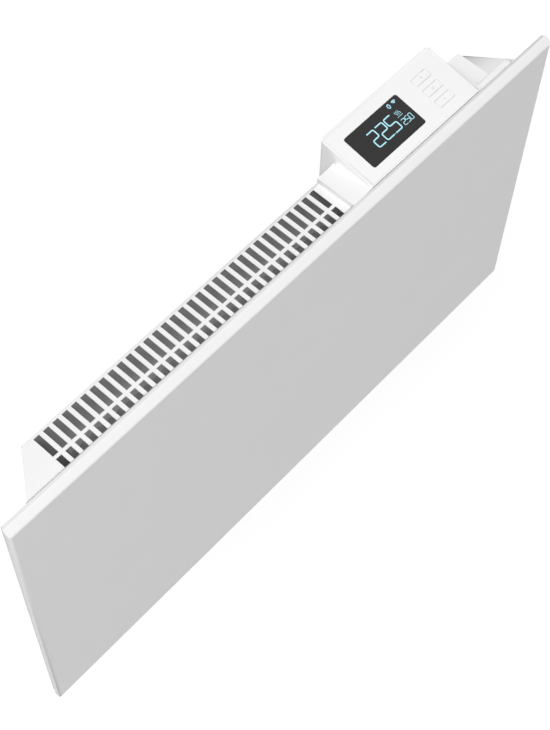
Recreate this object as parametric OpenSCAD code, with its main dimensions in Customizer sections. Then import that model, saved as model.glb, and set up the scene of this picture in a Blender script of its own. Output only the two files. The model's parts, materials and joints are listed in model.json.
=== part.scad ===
// Wall panel convector heater with a control unit behind the top edge of its front panel.
// Millimetres, +Z up. The origin is the centre of the four wall screws, on the wall.
// The wall is the plane y = 0, and the front panel's face looks along -Y.

/* [Front panel] */
// Width of the front panel
panel_w = 660; // [600:1:800]
// Height of the front panel
panel_h = 370; // [340:1:420]
// Depth of the folded front panel
panel_t = 10.8; // [10.2:0.1:14]
// Sheet thickness of the front panel
panel_sheet = 1.2; // [1:0.1:1.5]
// Radius of the front edge at the sides and below
panel_edge_r = 2.6; // [1.6:0.1:3]
// Depth of the bevel behind the flat return
panel_bevel = 2.6; // [2:0.1:3]
// Fall of that bevel
panel_bevel_fall = 1.6; // [1:0.1:2]
// Depth of the hem behind that bevel
panel_hem = 1.4; // [1.3:0.1:2]
// Depth of the ramp along the upper edge
ramp_d = 6.8; // [5:0.1:7.5]
// Rise of that ramp above the face
ramp_rise = 5.6; // [4:0.1:7]
// Width of the lip turned in at the back
panel_lip = 9; // [6:0.5:12]
// Width of a stiffening rail's crown
rail_w = 24; // [18:1:30]
// Distance from a stiffening rail's end to the panel's side
rail_inset = 50; // [45:1:90]
// Distance between the two rails
rail_spacing = 220; // [180:1:260]
// Sheet thickness of the rails
rail_sheet = 1; // [0.8:0.1:1.2]

/* [Casing] */
// Distance from the wall to the face of the front panel
depth = 85; // [82:0.5:95]
// Gap between the front panel and the inner plate
casing_gap = 2; // [1:0.1:3]
// Thickness of the inner plate
plate_t = 1; // [0.8:0.1:1.5]
// Depth of the rear casing
casing_d = 40.8; // [38:0.2:42]
// Sheet thickness of the rear casing
casing_sheet = 1; // [0.8:0.1:1.5]
// Fall from the panel's top edge to the casing's top
casing_drop = 8; // [6:0.5:9]
// Height of the casing's bottom above the panel's bottom edge
casing_foot = 8; // [7:0.5:12]
// Inset of the casing's front edge from the panel's side
front_inset = 29; // [20:0.5:32]
// Inset of the casing's back from the panel's side
rear_inset = 61; // [50:0.5:64]
// Outer radius of the casing's rear corners
casing_corner_r = 5; // [3:0.5:8]
// Width of the flange turned in round the casing's front
flange_w = 14; // [12:0.5:16]

/* [Grille] */
// Distance from one slot to the next
slot_pitch = 10; // [9:0.05:10.5]
// Width of a slot
slot_w = 6; // [5:0.1:6.5]
// Number of slots in each row of the outlet
slot_count = 33; // [20:1:33]
// Number of slots in each row of the inlet
inlet_count = 44; // [20:1:44]
// Length of a slot in the rear row
long_slot = 22; // [20:0.1:23]
// Length of a slot in the front row
short_slot = 11.2; // [6:0.1:11.5]
// Rib between the two rows
slot_rib = 3; // [2.5:0.1:4.5]
// Distance from the rear row to the casing's back
slot_margin = 2.6; // [2.4:0.1:3]
// Distance from the last slot to the step of the control unit
grille_gap = 7.5; // [5:0.5:10]

/* [Control unit] */
// Width of the control unit
unit_w = 144; // [138:1:150]
// Distance from the middle of the heater to the middle of the unit
unit_x = 170; // [165:1:175]
// Depth of the control unit
unit_d = 60.8; // [60:0.2:62]
// Tilt of the operating face
face_tilt = 11; // [10:0.5:14]
// Height of the face's front edge above the panel's top edge
face_rise = 1.2; // [1:0.1:3]
// Wall thickness of the unit
unit_wall = 2; // [1.8:0.1:2.4]
// Radius of the unit's rear corners
unit_corner_r = 5; // [4:0.5:6]
// Reach of the unit behind the casing, below the panel's top edge
skirt_h = 62; // [60:0.5:64]
// Width of the swept foot beside the unit
sweep_w = 23; // [18:0.5:24]
// Height of the swept foot's edge above the casing's top
sweep_lift = 6.5; // [4:0.1:7]
// Length of the lip right of the unit
lip_l = 49; // [40:1:54]
// Depth of that lip
lip_d = 6.2; // [5:0.1:8]
// Thickness of the fascia and of the window
fascia_t = 1; // [0.8:0.1:1.2]
// Margin of the fascia at its sides
fascia_margin = 3; // [2:0.5:4]

/* [Display and buttons] */
// Height of the display window along the face
window_h = 37; // [32:0.5:38]
// Distance from the unit's left side to the window
window_x = 15.5; // [12:0.5:18]
// Distance from the face's front edge to the window
window_s = 11.1; // [10:0.1:12]
// Width of a button
button_w = 19.6; // [16:0.1:20]
// Height of a button along the face
button_h = 7.9; // [7:0.1:9]
// Distance from the unit's right side to the buttons' middle
button_inset = 29.5; // [26:0.5:32]
// Distance from the display window to the buttons
window_to_buttons = 20.2; // [18:0.1:24]
// Distance from one button to the next
button_pitch = 14.1; // [12.5:0.1:14.5]
// Travel of a button
button_travel = 0.5; // [0.3:0.05:0.6]
// Gap round a button
button_gap = 0.25; // [0.2:0.05:0.4]

/* [Heating] */
// Distance from the element's left end to the casing's back corner
element_left_gap = 13; // [13:1:60]
// Distance from the element's right end to the terminal block
element_right_gap = 66; // [66:1:100]
// Height of the fins' stack
element_h = 62; // [48:1:70]
// Depth of a fin
fin_d = 24; // [18:0.5:25]
// Thickness of a fin
fin_t = 1.2; // [1:0.1:1.6]
// Number of fins
fin_count = 8; // [5:1:9]
// Outer radius of the element's tube
tube_r = 5; // [4:0.1:6]

/* [Wall bracket] */
// Distance between the wall screws along the wall
hole_dx = 300; // [280:1:304]
// Distance from a wall screw to the bracket's end
hole_inset = 18; // [14:0.5:28]
// Radius of a wall screw hole
hole_r = 3.2; // [2.5:0.1:3.5]
// Sheet thickness of the bracket
bracket_sheet = 1.5; // [1.2:0.1:2]
// Gap between the bracket's top and the control unit
bracket_clear = 15; // [10:0.5:18]
// Width of an upright's crown
upright_w = 40; // [34:1:44]
// Width of an upright's foot
foot_w = 18; // [16:1:22]
// Width of a hook
hook_w = 20; // [14:0.5:24]
// Height of a hook's nib
nib_h = 10; // [6:0.5:10]
// Distance from a hook to the bracket's end
hook_inset = 38; // [28:1:58]
// Rise that frees the heater from its hooks
lift = 12; // [12:0.5:14]

/* [Cord inlet] */
// Radius of the gland's bore
gland_bore_r = 4.2; // [3:0.1:4.5]
// Radius of the gland's barrel
gland_r = 8; // [7:0.1:9]

/* [Hidden] */
$fn = 48;
// Overrun of the cuts
over = 1;
// Clearance between fixed pieces that fit together
fit = 0.15;
// Running clearance of the switch plungers
run = 0.06;
// Steps of a rounded sheet corner
arc_steps = 6;

// Planes of the front panel and the casing
ramp_fall = 1.5;
ramp_foot_r = 3;
ramp_crest_r = 1.5;
face_y = -depth;
panel_top = panel_h / 2;
panel_bottom = -panel_h / 2;
plate_y = face_y + panel_t + casing_gap;
casing_y = plate_y + plate_t;
casing_back = casing_y + casing_d;
casing_inner = casing_back - casing_sheet;
casing_top = panel_top - casing_drop;
casing_bottom = panel_bottom + casing_foot;
casing_h = casing_top - casing_bottom;
side_front = panel_w / 2 - front_inset;
side_rear = panel_w / 2 - rear_inset;
side_slope = (side_front - side_rear) / casing_d;
side_shift = casing_sheet * sqrt(1 + side_slope * side_slope);
rail_l = panel_w - 2 * rail_inset;
rail_d = panel_t + casing_gap - panel_sheet;
rail_foot = rail_w / 2;
// The plate's upper edge stands above the casing, left of the control unit
plate_rise = 6.6;
plate_side_gap = 1;

// Planes of the control unit
unit_left = unit_x - unit_w / 2;
unit_right = unit_x + unit_w / 2;
unit_front = plate_y;
unit_rear = unit_front + unit_d;
face_z = panel_top + face_rise;
unit_top = face_z + unit_d * tan(face_tilt);
skirt_z = panel_top - skirt_h;
face_len = unit_d / cos(face_tilt);
button_x = unit_w - button_inset;
window_w = button_x - button_w / 2 - window_to_buttons - window_x;
floor_t = 1.6;
rear_wall = 2.2;
cover_margin = 7;
cover_t = 2;
cover_clear = 0.2;
fascia_front = 1.5;
fascia_rear = 3;
// Swept foot: its grid, how far it reaches into the unit, and how its curve turns
sweep_across = 12;
sweep_along = 8;
sweep_sunk = 1;
front_power = 1.4;
rear_power = 7;
rear_rise_share = 0.5;
window_ledge = 1.2;
window_corner_r = 2.2;
button_corner_r = 1.2;
button_proud = 0.2;
button_lip = 1;
button_lip_t = 0.8;
button_under = 0.1;
module_t = 3.4;
module_rim = 1.5;
board_t = 1.6;
board_margin = 6;
board_s = 7.8;
board_len = 49;
switch_w = 6;
switch_h = 1.2;
plunger_r = 1.6;
plunger_rest = 0.3;
plunger_sunk = switch_h - button_travel - plunger_rest;
post_r = 2.6;
post_inset = 3.2;
window_mid_s = window_s + window_h / 2;
board_top = -unit_wall - module_t;
lip_bottom = -unit_wall - button_under - button_lip_t;
plunger_top = lip_bottom;
switch_top = board_top + switch_h;

// Screws: radius of the shank, radius of the head, height of the head
screw_r = 1.5;
head_r = 3;
head_h = 1.8;
small_screw_r = 1;
small_head_r = 2;
small_head_h = 1.1;
pilot_clear = 0.1;

// Power board in the part of the unit behind the casing
bay_y = casing_back + unit_wall;
bay_end = unit_rear - rear_wall;
boss_r = 4;
boss_inset = 14;
standoff_h = 1.6;
standoff_r = 2.4;
power_y = bay_y + standoff_h;
power_top_y = power_y + board_t;
power_w = unit_w - 2 * boss_inset - 4 * boss_r;
power_margin = 6;
power_low = skirt_z + power_margin;
power_h = casing_top - power_margin - power_low;
power_corner = 4;
part_room = bay_end - power_top_y;
part_clear = 0.6;
part_h = part_room - part_clear;
// Pieces on the boards: their places on the power board are shares of its width and height
relay_share = [0.68, 0.5];
transformer_share = [0.24, 0.5];
capacitor_share = [0.47, 0.66];
connector_share = [0.47, 0.22];
relay_w = power_w / 5;
relay_l = 16;
transformer_w = power_w * 6 / 25;
transformer_l = 20;
core_rim = 2;
capacitor_r = power_w / 20;
connector_w = power_w * 3 / 25;
radio_w = 6;
radio_l = 16;
radio_h = 2;
ribbon_w = 16;
ribbon_t = 0.8;

// Element, its carriers and the heat shield
shield_off = 7;
shield_t = 0.8;
shield_y = casing_inner - shield_off;
element_up = 56;
element_z = casing_bottom + element_up;
element_y = (casing_y + casing_sheet + shield_y - shield_t) / 2;
spine_t = 1.6;
tube_end = 16;
corner_inset = 26;
corner_x = side_rear - corner_inset;
terminal_w = 42;
element_low_x = element_left_gap - side_rear;
element_high_x = corner_x - terminal_w / 2 - element_right_gap;
element_x = (element_low_x + element_high_x) / 2;
element_l = element_high_x - element_low_x - 2 * tube_end;
cap_r = 9;
cap_l = 12;
carrier_t = 1.2;
carrier_h = 44;
carrier_foot = 16;
carrier_rim = 3;
shield_gap = 8;
shield_up = 6;
shield_low = casing_bottom + shield_up;
shield_high = skirt_z;
shield_l = element_l + 2 * tube_end - 2 * carrier_foot - 2 * shield_gap;
cutout_r = 8;
cutout_h = 7;
cutout_off = 60;
cutout_x = element_x + cutout_off;
cutout_z = element_z + element_h;
cutout_plate_t = 1;
cutout_plate_w = 40;
cutout_plate_h = 20;
blade_w = 6.3;
blade_t = 0.8;
blade_l = 7;

// Lower right corner: gland, terminal block, sensor
service_y = (casing_y + casing_inner) / 2;
gland_flange_r = 11;
gland_flange_t = 4;
gland_reach = 12;
nut_r = 12.5;
nut_t = 5;
terminal_h = 18;
terminal_d = 16;
terminal_up = 60;
terminal_z = casing_bottom + terminal_up;
pole_count = 3;
sensor_off = 32;
sensor_x = corner_x - sensor_off;
sensor_r = 3;
sensor_flange_r = 6;
sensor_flange_t = 1.2;
sensor_up = 14;
sensor_down = 5;

// Wires and their grommets
wire_r = 2.4;
grommet_r = 5.5;
grommet_bore_r = 3.4;
grommet_rim = 2;
grommet_rim_t = 1.4;
grommet_up = 12;
grommet_z = skirt_z + grommet_up;
grommet_inset = 38;
mains_grommet_x = unit_right - grommet_inset;
element_grommet_x = unit_left + grommet_inset;
lead_off = 12;
lead_y = casing_inner - lead_off;
lead_drop = 22;
lead_sunk = 0.3;
connector_d = 5;
connector_h = 8;

// Wall bracket
bracket_h = 2 * (skirt_z - bracket_clear);
hole_dz = bracket_h - 2 * hole_inset;
hook_spacing = bracket_h - 2 * hook_inset;
crown_gap = 1.5;
crown_y = casing_back + crown_gap;
upright_x = hole_dx / 2 - foot_w / 2 - upright_w / 2;
strip_h = 30;
strip_inset = 35;
strip_z = bracket_h / 2 - strip_inset;
hook_clear = 1.2;
hook_reach = casing_inner - hook_clear - bracket_sheet;
hook_side = 0.6;
hook_slack = 0.5;
hook_slot_h = bracket_sheet + lift + hook_slack;
pad_r = 7;
pad_gap = 0.3;
pad_spacing = 60;

// Colours
paint = [0.94, 0.94, 0.94];
moulding = [0.96, 0.96, 0.96];
zinc = [0.72, 0.73, 0.75];
steel = [0.62, 0.63, 0.65];
aluminium = [0.78, 0.79, 0.8];
glass_black = [0.16, 0.16, 0.17];
ceramic = [0.9, 0.87, 0.8];
green = [0.1, 0.36, 0.22];
black = [0.08, 0.08, 0.09];
grey = [0.45, 0.46, 0.48];

function unit(v) = v / norm(v);
function arc_at(a, b, c, r) =
    let (u = unit(a - b), v = unit(c - b), half = acos(u * v) / 2)
    let (centre = b + unit(u + v) * r / sin(half), s = b + u * r / tan(half), e = b + v * r / tan(half))
    [for (i = [0:arc_steps])
        centre + r * unit((s - centre) * (1 - i / arc_steps) + (e - centre) * i / arc_steps)];
function flip(points) = [for (i = [len(points) - 1:-1:0]) [-points[i][0], points[i][1]]];
function swap(points) = [for (p = points) [p[1], p[0]]];

// Rectangle with round corners, its middle at the origin
module round_rect(w, h, r) {
    square([w - 2 * r, h], center = true);
    square([w, h - 2 * r], center = true);
    for (x = [-1, 1], y = [-1, 1])
        translate([x * (w / 2 - r), y * (h / 2 - r)])
            circle(r);
}

// Block given by its low corner and its high corner
module block(low, high) {
    translate(low)
        cube(high - low);
}

// Rod along +Y from y = 0
module rod_y(r, l) {
    rotate([-90, 0, 0])
        cylinder(r = r, h = l);
}

// Screw along +Y: its head ends at y = 0 and the shank runs on
module screw_y(l, r = screw_r, hr = head_r, hh = head_h) {
    translate([0, -hh, 0])
        rod_y(hr, hh);
    rod_y(r, l);
}

// Hat section in x and y: feet on y = 0 and the crown at y = d
module hat(w, d, foot, t, l) {
    linear_extrude(height = l, center = true)
        polygon([[-w / 2 - foot, 0], [-w / 2 + t, 0], [-w / 2 + t, d - t], [w / 2 - t, d - t],
                 [w / 2 - t, 0], [w / 2 + foot, 0], [w / 2 + foot, t], [w / 2, t], [w / 2, d],
                 [-w / 2, d], [-w / 2, t], [-w / 2 - foot, t]]);
}

// Frame of the operating face: x from the unit's left side, y up the slope, z out of the face
module on_face(p = [0, 0, 0]) {
    translate([unit_left, unit_front, face_z])
        rotate([face_tilt, 0, 0])
            translate(p)
                children();
}

module button_hole() {
    round_rect(button_w + 2 * button_gap, button_h + 2 * button_gap, button_corner_r);
}

module at_buttons(i) {
    on_face([button_x, window_mid_s + i * button_pitch, 0])
        children();
}

// Folded edge of the front panel, drawn in by d: round front edge, flat return, bevel, hem
function tray_edge(half, d) =
    let (a = half - d, r = panel_edge_r - d, bevel_end = panel_t - panel_hem)
    let (turn = [for (i = [0:arc_steps]) 90 * i / arc_steps])
    concat([for (t = turn) [a - r + r * sin(t), d + r - r * cos(t)]],
           [[a, bevel_end - panel_bevel], [a - panel_bevel_fall, bevel_end],
            [a - panel_bevel_fall, panel_t - d]]);

// Upper edge of the front panel, drawn in by d: the face bends into a ramp, the ramp into a flat top
function ramp_edge(d) =
    let (slant = unit([ramp_rise, ramp_d]), low = [0, d])
    let (foot = [panel_top - d * (1 - slant[0]) / slant[1], d])
    let (crest = [panel_top + ramp_rise - d, ramp_d + d * (1 - slant[1]) / slant[0]])
    let (rear = [panel_top + ramp_rise - ramp_fall - d, panel_t - d])
    concat(arc_at(low, foot, crest, ramp_foot_r - d), arc_at(foot, crest, rear, ramp_crest_r - d), [rear]);

module tray(d) {
    across = tray_edge(panel_w / 2, d);
    intersection() {
        linear_extrude(height = panel_h + 4 * ramp_rise, center = true)
            polygon(concat(across, flip(across)));
        rotate([90, 0, 90])
            linear_extrude(height = panel_w + 2 * over, center = true)
                polygon(swap(concat(ramp_edge(d), flip(tray_edge(panel_h / 2, d)))));
    }
}

module front_panel() {
    open_w = panel_w - 2 * (panel_bevel_fall + panel_lip);
    open_h = panel_h - 2 * (panel_bevel_fall + panel_lip);
    color(paint)
        translate([0, face_y, 0])
            difference() {
                tray(0);
                tray(panel_sheet);
                translate([-open_w / 2, panel_t / 2, -open_h / 2])
                    cube([open_w, panel_t, open_h]);
            }
}

// Places of the screws that hold the panel's rails to the inner plate
module at_panel_screws() {
    for (x = [-rail_l / 2 + rail_w, 0, rail_l / 2 - rail_w], z = [-rail_spacing / 2, rail_spacing / 2])
        translate([x, casing_y, z])
            children();
}

module panel_rails() {
    color(zinc)
        difference() {
            for (z = [-rail_spacing / 2, rail_spacing / 2])
                translate([0, face_y + panel_sheet, z])
                    rotate([0, 90, 0])
                        hat(rail_w, rail_d, rail_foot, rail_sheet, rail_l);
            at_panel_screws()
                rotate([180, 0, 0])
                    rod_y(screw_r + pilot_clear, rail_d / 2);
        }
}

module panel_screws() {
    color(steel)
        at_panel_screws()
            rotate([180, 0, 0])
                screw_y(plate_t + 4 * rail_sheet);
}

// Places of the screws that hold the inner plate to the casing's flanges
module at_casing_screws() {
    for (x = [-1, 1], z = [-1, 0, 1])
        translate([x * (side_front - flange_w / 2), plate_y, z * (casing_h / 2 - flange_w)])
            children();
}

module inner_plate() {
    color(zinc)
        difference() {
            union() {
                block([-side_front, plate_y, casing_bottom], [side_front, casing_y, casing_top]);
                block([-side_front, plate_y, casing_top - over],
                      [unit_left - sweep_w - plate_side_gap, casing_y, casing_top + plate_rise]);
            }
            at_casing_screws()
                translate([0, -over, 0])
                    rod_y(screw_r + fit, plate_t + 2 * over);
            at_panel_screws()
                translate([0, -plate_t - over, 0])
                    rod_y(screw_r + fit, plate_t + 2 * over);
        }
}

module casing_screws() {
    shank = plate_t + 3 * casing_sheet;
    head_l = min(head_h, casing_gap - fit);
    color(steel)
        at_casing_screws()
            screw_y(shank, hh = head_l);
}

// Plan outline of the casing, drawn in by the sheet on the inside
module casing_plan(t, shift, r) {
    fr = [side_front - shift, casing_y + t];
    rr = [side_front - side_slope * (casing_d - t) - shift, casing_back - t];
    fl = [-fr[0], fr[1]];
    rl = [-rr[0], rr[1]];
    polygon(concat([fl, fr], arc_at(fr, rr, rl, r), arc_at(rr, rl, fl, r)));
}

// Two rows of slots through a sheet, from the middle of the last slot on the right
module slot_rows(right, count, z) {
    rear = casing_back - slot_margin;
    front = rear - long_slot - slot_rib;
    for (i = [0:count - 1])
        translate([right - i * slot_pitch - slot_w / 2, 0, z]) {
            block([0, rear - long_slot, -over], [slot_w, rear, casing_sheet + over]);
            block([0, front - short_slot, -over], [slot_w, front, casing_sheet + over]);
        }
}

module at_hooks() {
    for (x = [-upright_x, upright_x], z = [-hook_spacing / 2, hook_spacing / 2])
        translate([x, 0, z])
            children();
}

module at_unit_screws() {
    for (x = [unit_left + boss_inset, unit_right - boss_inset])
        translate([x, casing_inner, skirt_z + skirt_h / 2])
            children();
}

module at_carrier_screws() {
    for (s = [-1, 1], z = [-carrier_h / 2 + 2 * head_r, carrier_h / 2 - 2 * head_r])
        translate([element_x + s * (element_l / 2 + tube_end - carrier_foot / 2), casing_inner,
                   element_z + z])
            children();
}

module rear_casing() {
    inner_r = casing_corner_r - casing_sheet;
    opening_h = casing_h - 2 * flange_w;
    inlet_right = element_x + (inlet_count - 1) * slot_pitch / 2;
    color(paint)
        difference() {
            translate([0, 0, casing_bottom])
                linear_extrude(height = casing_h)
                    casing_plan(0, 0, casing_corner_r);
            translate([0, 0, casing_bottom + casing_sheet])
                linear_extrude(height = casing_h - 2 * casing_sheet)
                    casing_plan(casing_sheet, side_shift, inner_r);
            translate([-side_front + flange_w, casing_y - over, casing_bottom + flange_w])
                cube([2 * (side_front - flange_w), casing_sheet + 2 * over, opening_h]);
            slot_rows(unit_left - sweep_w - grille_gap - slot_w / 2, slot_count, casing_top - casing_sheet);
            slot_rows(inlet_right, inlet_count, casing_bottom);
            at_hooks()
                block([-hook_w / 2 - hook_side, casing_inner - over, -hook_slot_h],
                      [hook_w / 2 + hook_side, casing_back + over, 0]);
            at_casing_screws()
                rod_y(screw_r + pilot_clear, plate_t + casing_sheet + over);
            at_unit_screws()
                translate([0, -over, 0])
                    rod_y(screw_r + fit, casing_sheet + 2 * over);
            at_carrier_screws()
                translate([0, -over, 0])
                    rod_y(screw_r + pilot_clear, casing_sheet + 2 * over);
            for (x = [mains_grommet_x, element_grommet_x])
                translate([x, casing_inner - over, grommet_z])
                    rod_y(grommet_r + fit, casing_sheet + 2 * over);
            translate([corner_x, service_y, casing_bottom - over])
                cylinder(r = gland_r + fit, h = casing_sheet + 2 * over);
            translate([sensor_x, service_y, casing_bottom - over])
                cylinder(r = sensor_r + fit, h = casing_sheet + 2 * over);
            translate([corner_x, casing_inner - over, terminal_z + terminal_h])
                rod_y(screw_r + pilot_clear, casing_sheet + 2 * over);
        }
}

module heating_element() {
    step = element_h / (fin_count - 1);
    color(aluminium)
        translate([element_x, element_y, element_z]) {
            translate([-element_l / 2, -spine_t / 2, -element_h / 2])
                cube([element_l, spine_t, element_h]);
            for (i = [0:fin_count - 1])
                translate([-element_l / 2, -fin_d / 2, i * step - element_h / 2 - fin_t / 2])
                    cube([element_l, fin_d, fin_t]);
            rotate([0, 90, 0])
                cylinder(r = tube_r, h = element_l + 2 * tube_end, center = true);
        }
}

module element_caps() {
    color(ceramic)
        for (s = [-1, 1])
            translate([element_x + s * (element_l / 2 + tube_end / 2 + over), element_y, element_z])
                rotate([0, 90, 0])
                    difference() {
                        cylinder(r = cap_r, h = cap_l, center = true);
                        cylinder(r = tube_r + fit, h = cap_l + 2 * over, center = true);
                    }
}

// Sheet carrier of one end of the element, with its foot on the casing's back
module carrier(s) {
    x = s * (element_l / 2 + tube_end - carrier_t - over);
    low = min(x, x + s * carrier_t);
    foot = s * (element_l / 2 + tube_end - carrier_foot);
    reach = cap_r + carrier_rim;
    translate([element_x, 0, element_z])
        difference() {
            union() {
                block([low, element_y - reach, -carrier_h / 2],
                      [low + carrier_t, casing_inner, carrier_h / 2]);
                block([min(foot, foot + s * carrier_foot), casing_inner - carrier_t, -carrier_h / 2],
                      [max(foot, foot + s * carrier_foot), casing_inner, carrier_h / 2]);
            }
            translate([low - over, element_y, 0])
                rotate([0, 90, 0])
                    cylinder(r = cap_r + fit, h = carrier_t + 2 * over);
        }
}

module element_brackets() {
    color(zinc)
        difference() {
            for (s = [-1, 1])
                carrier(s);
            at_carrier_screws()
                translate([0, -carrier_t - over, 0])
                    rod_y(screw_r + fit, carrier_t + 2 * over);
        }
}

module element_screws() {
    color(steel)
        at_carrier_screws()
            translate([0, -carrier_t, 0])
                screw_y(carrier_t + casing_sheet);
}

module heat_shield() {
    low_x = element_x - shield_l / 2;
    high_x = element_x + shield_l / 2;
    color(aluminium) {
        block([low_x, shield_y - shield_t, shield_low], [high_x, shield_y, shield_high]);
        for (z = [shield_low, shield_high - shield_t])
            block([low_x, shield_y - shield_t, z], [high_x, casing_inner, z + shield_t]);
    }
}

module cutout_bracket() {
    color(zinc)
        difference() {
            translate([cutout_x, shield_y - shield_t - cutout_plate_t, cutout_z])
                translate([-cutout_plate_w / 2, 0, -cutout_plate_h / 2])
                    cube([cutout_plate_w, cutout_plate_t, cutout_plate_h]);
            for (s = [-1, 1])
                translate([cutout_x + s * cutout_r * 2, shield_y - shield_t - cutout_plate_t - over,
                           cutout_z])
                    rod_y(screw_r, cutout_plate_t + 2 * over);
        }
}

module thermal_cutout() {
    face = shield_y - shield_t - cutout_plate_t;
    color(ceramic)
        translate([cutout_x, face - cutout_h, cutout_z])
            rod_y(cutout_r, cutout_h);
    color(steel)
        for (s = [-1, 1])
            translate([cutout_x + s * cutout_r / 2 - blade_w / 4, face - cutout_h - blade_l, cutout_z])
                cube([blade_w / 2, blade_l, blade_t]);
}

// Side outline of the unit's outer shape, in y and z
function unit_outline() = [[unit_front, casing_top], [unit_front, face_z], [unit_rear, unit_top],
    [unit_rear, skirt_z], [casing_back, skirt_z], [casing_back, casing_top]];
// Height of the ceiling inside the unit
function ceiling(y) = face_z + (y - unit_front) * tan(face_tilt) - unit_wall / cos(face_tilt);
function bay_outline() = [[unit_front + unit_wall, casing_top + floor_t],
    [unit_front + unit_wall, ceiling(unit_front + unit_wall)], [bay_end, ceiling(bay_end)],
    [bay_end, skirt_z + unit_wall], [bay_y, skirt_z + unit_wall], [bay_y, casing_top + floor_t]];

module side_extrude(x0, x1, points) {
    translate([x0, 0, 0])
        rotate([90, 0, 90])
            linear_extrude(height = x1 - x0)
                polygon(points);
}

// Plan of the unit with round rear corners
module unit_plan() {
    r = unit_corner_r;
    translate([unit_left, unit_front])
        square([unit_w, unit_d - r]);
    translate([unit_left + r, unit_front])
        square([unit_w - 2 * r, unit_d]);
    for (x = [unit_left + r, unit_right - r])
        translate([x, unit_rear - r])
            circle(r);
}

// Swept foot beside the unit: a step at its edge, then a hollow curve up to the unit's side
function sweep_rise(v) = let (front = face_z - casing_top - sweep_lift - sweep_sunk / 4)
    let (rear = (front + casing_d * tan(face_tilt)) * rear_rise_share) front + v * (rear - front);
function sweep_z(u, v) = casing_top + sweep_lift
    + sweep_rise(v) * pow(u, front_power + v * (rear_power - front_power));
function sweep_columns() = [for (i = [0:sweep_across]) i / sweep_across];

module sweep() {
    columns = concat(sweep_columns(), [1]);
    nx = len(columns);
    ny = sweep_along + 1;
    places = [for (i = [0:nx - 1]) columns[i] * sweep_w + (i == nx - 1 ? sweep_sunk : 0)];
    spine = casing_back - plate_y;
    top = [for (j = [0:ny - 1], i = [0:nx - 1])
        [places[i], plate_y + spine * j / sweep_along, sweep_z(columns[i], j / sweep_along)]];
    bottom = [for (j = [0:ny - 1], i = [0:nx - 1])
        [places[i], plate_y + spine * j / sweep_along, casing_top]];
    n = nx * ny;
    upper = [for (j = [0:ny - 2], i = [0:nx - 2], k = [0, 1])
        k == 0 ? [j * nx + i, (j + 1) * nx + i, (j + 1) * nx + i + 1]
               : [j * nx + i, (j + 1) * nx + i + 1, j * nx + i + 1]];
    lower = [for (f = upper) [f[2] + n, f[1] + n, f[0] + n]];
    front = [for (i = [0:nx - 2], k = [0, 1])
        k == 0 ? [i, i + 1, i + 1 + n] : [i, i + 1 + n, i + n]];
    back_row = (ny - 1) * nx;
    back = [for (i = [0:nx - 2], k = [0, 1])
        k == 0 ? [back_row + i + 1, back_row + i, back_row + i + n]
               : [back_row + i + 1, back_row + i + n, back_row + i + 1 + n]];
    left = [for (j = [0:ny - 2], k = [0, 1])
        k == 0 ? [(j + 1) * nx, j * nx, j * nx + n] : [(j + 1) * nx, j * nx + n, (j + 1) * nx + n]];
    right = [for (j = [0:ny - 2], k = [0, 1])
        let (a = j * nx + nx - 1, b = (j + 1) * nx + nx - 1)
        k == 0 ? [a, b, b + n] : [a, b + n, a + n]];
    polyhedron(points = concat(top, bottom), faces = concat(upper, lower, front, back, left, right));
}

// Lip that runs on behind the panel's top edge, right of the unit
module unit_lip() {
    r = lip_d / 2;
    translate([unit_right - sweep_sunk, unit_front, casing_top])
        linear_extrude(height = panel_top - casing_top)
            union() {
                square([lip_l - r, lip_d]);
                translate([lip_l - r, r])
                    circle(r);
            }
}

module at_cover_screws() {
    for (x = [unit_left + boss_inset, unit_right - boss_inset],
         z = [skirt_z + boss_inset, casing_top - boss_inset])
        translate([x, unit_rear, z])
            children();
}

module at_power_corners() {
    for (x = [-1, 1], z = [-1, 1])
        translate([unit_x + x * (power_w / 2 - power_corner), power_y,
                   power_low + power_h / 2 + z * (power_h / 2 - power_corner)])
            children();
}

module at_board_posts() {
    for (x = [board_margin + post_inset, unit_w - board_margin - post_inset],
         s = [board_s + post_inset, board_s + board_len - post_inset])
        on_face([x, s, board_top])
            children();
}

module cover_opening(clear, t) {
    translate([unit_left + cover_margin + clear, unit_rear - t, skirt_z + cover_margin + clear])
        cube([unit_w - 2 * (cover_margin + clear), t + (clear > 0 ? 0 : over),
              unit_top - skirt_z - 2 * (cover_margin + clear)]);
}

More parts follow.
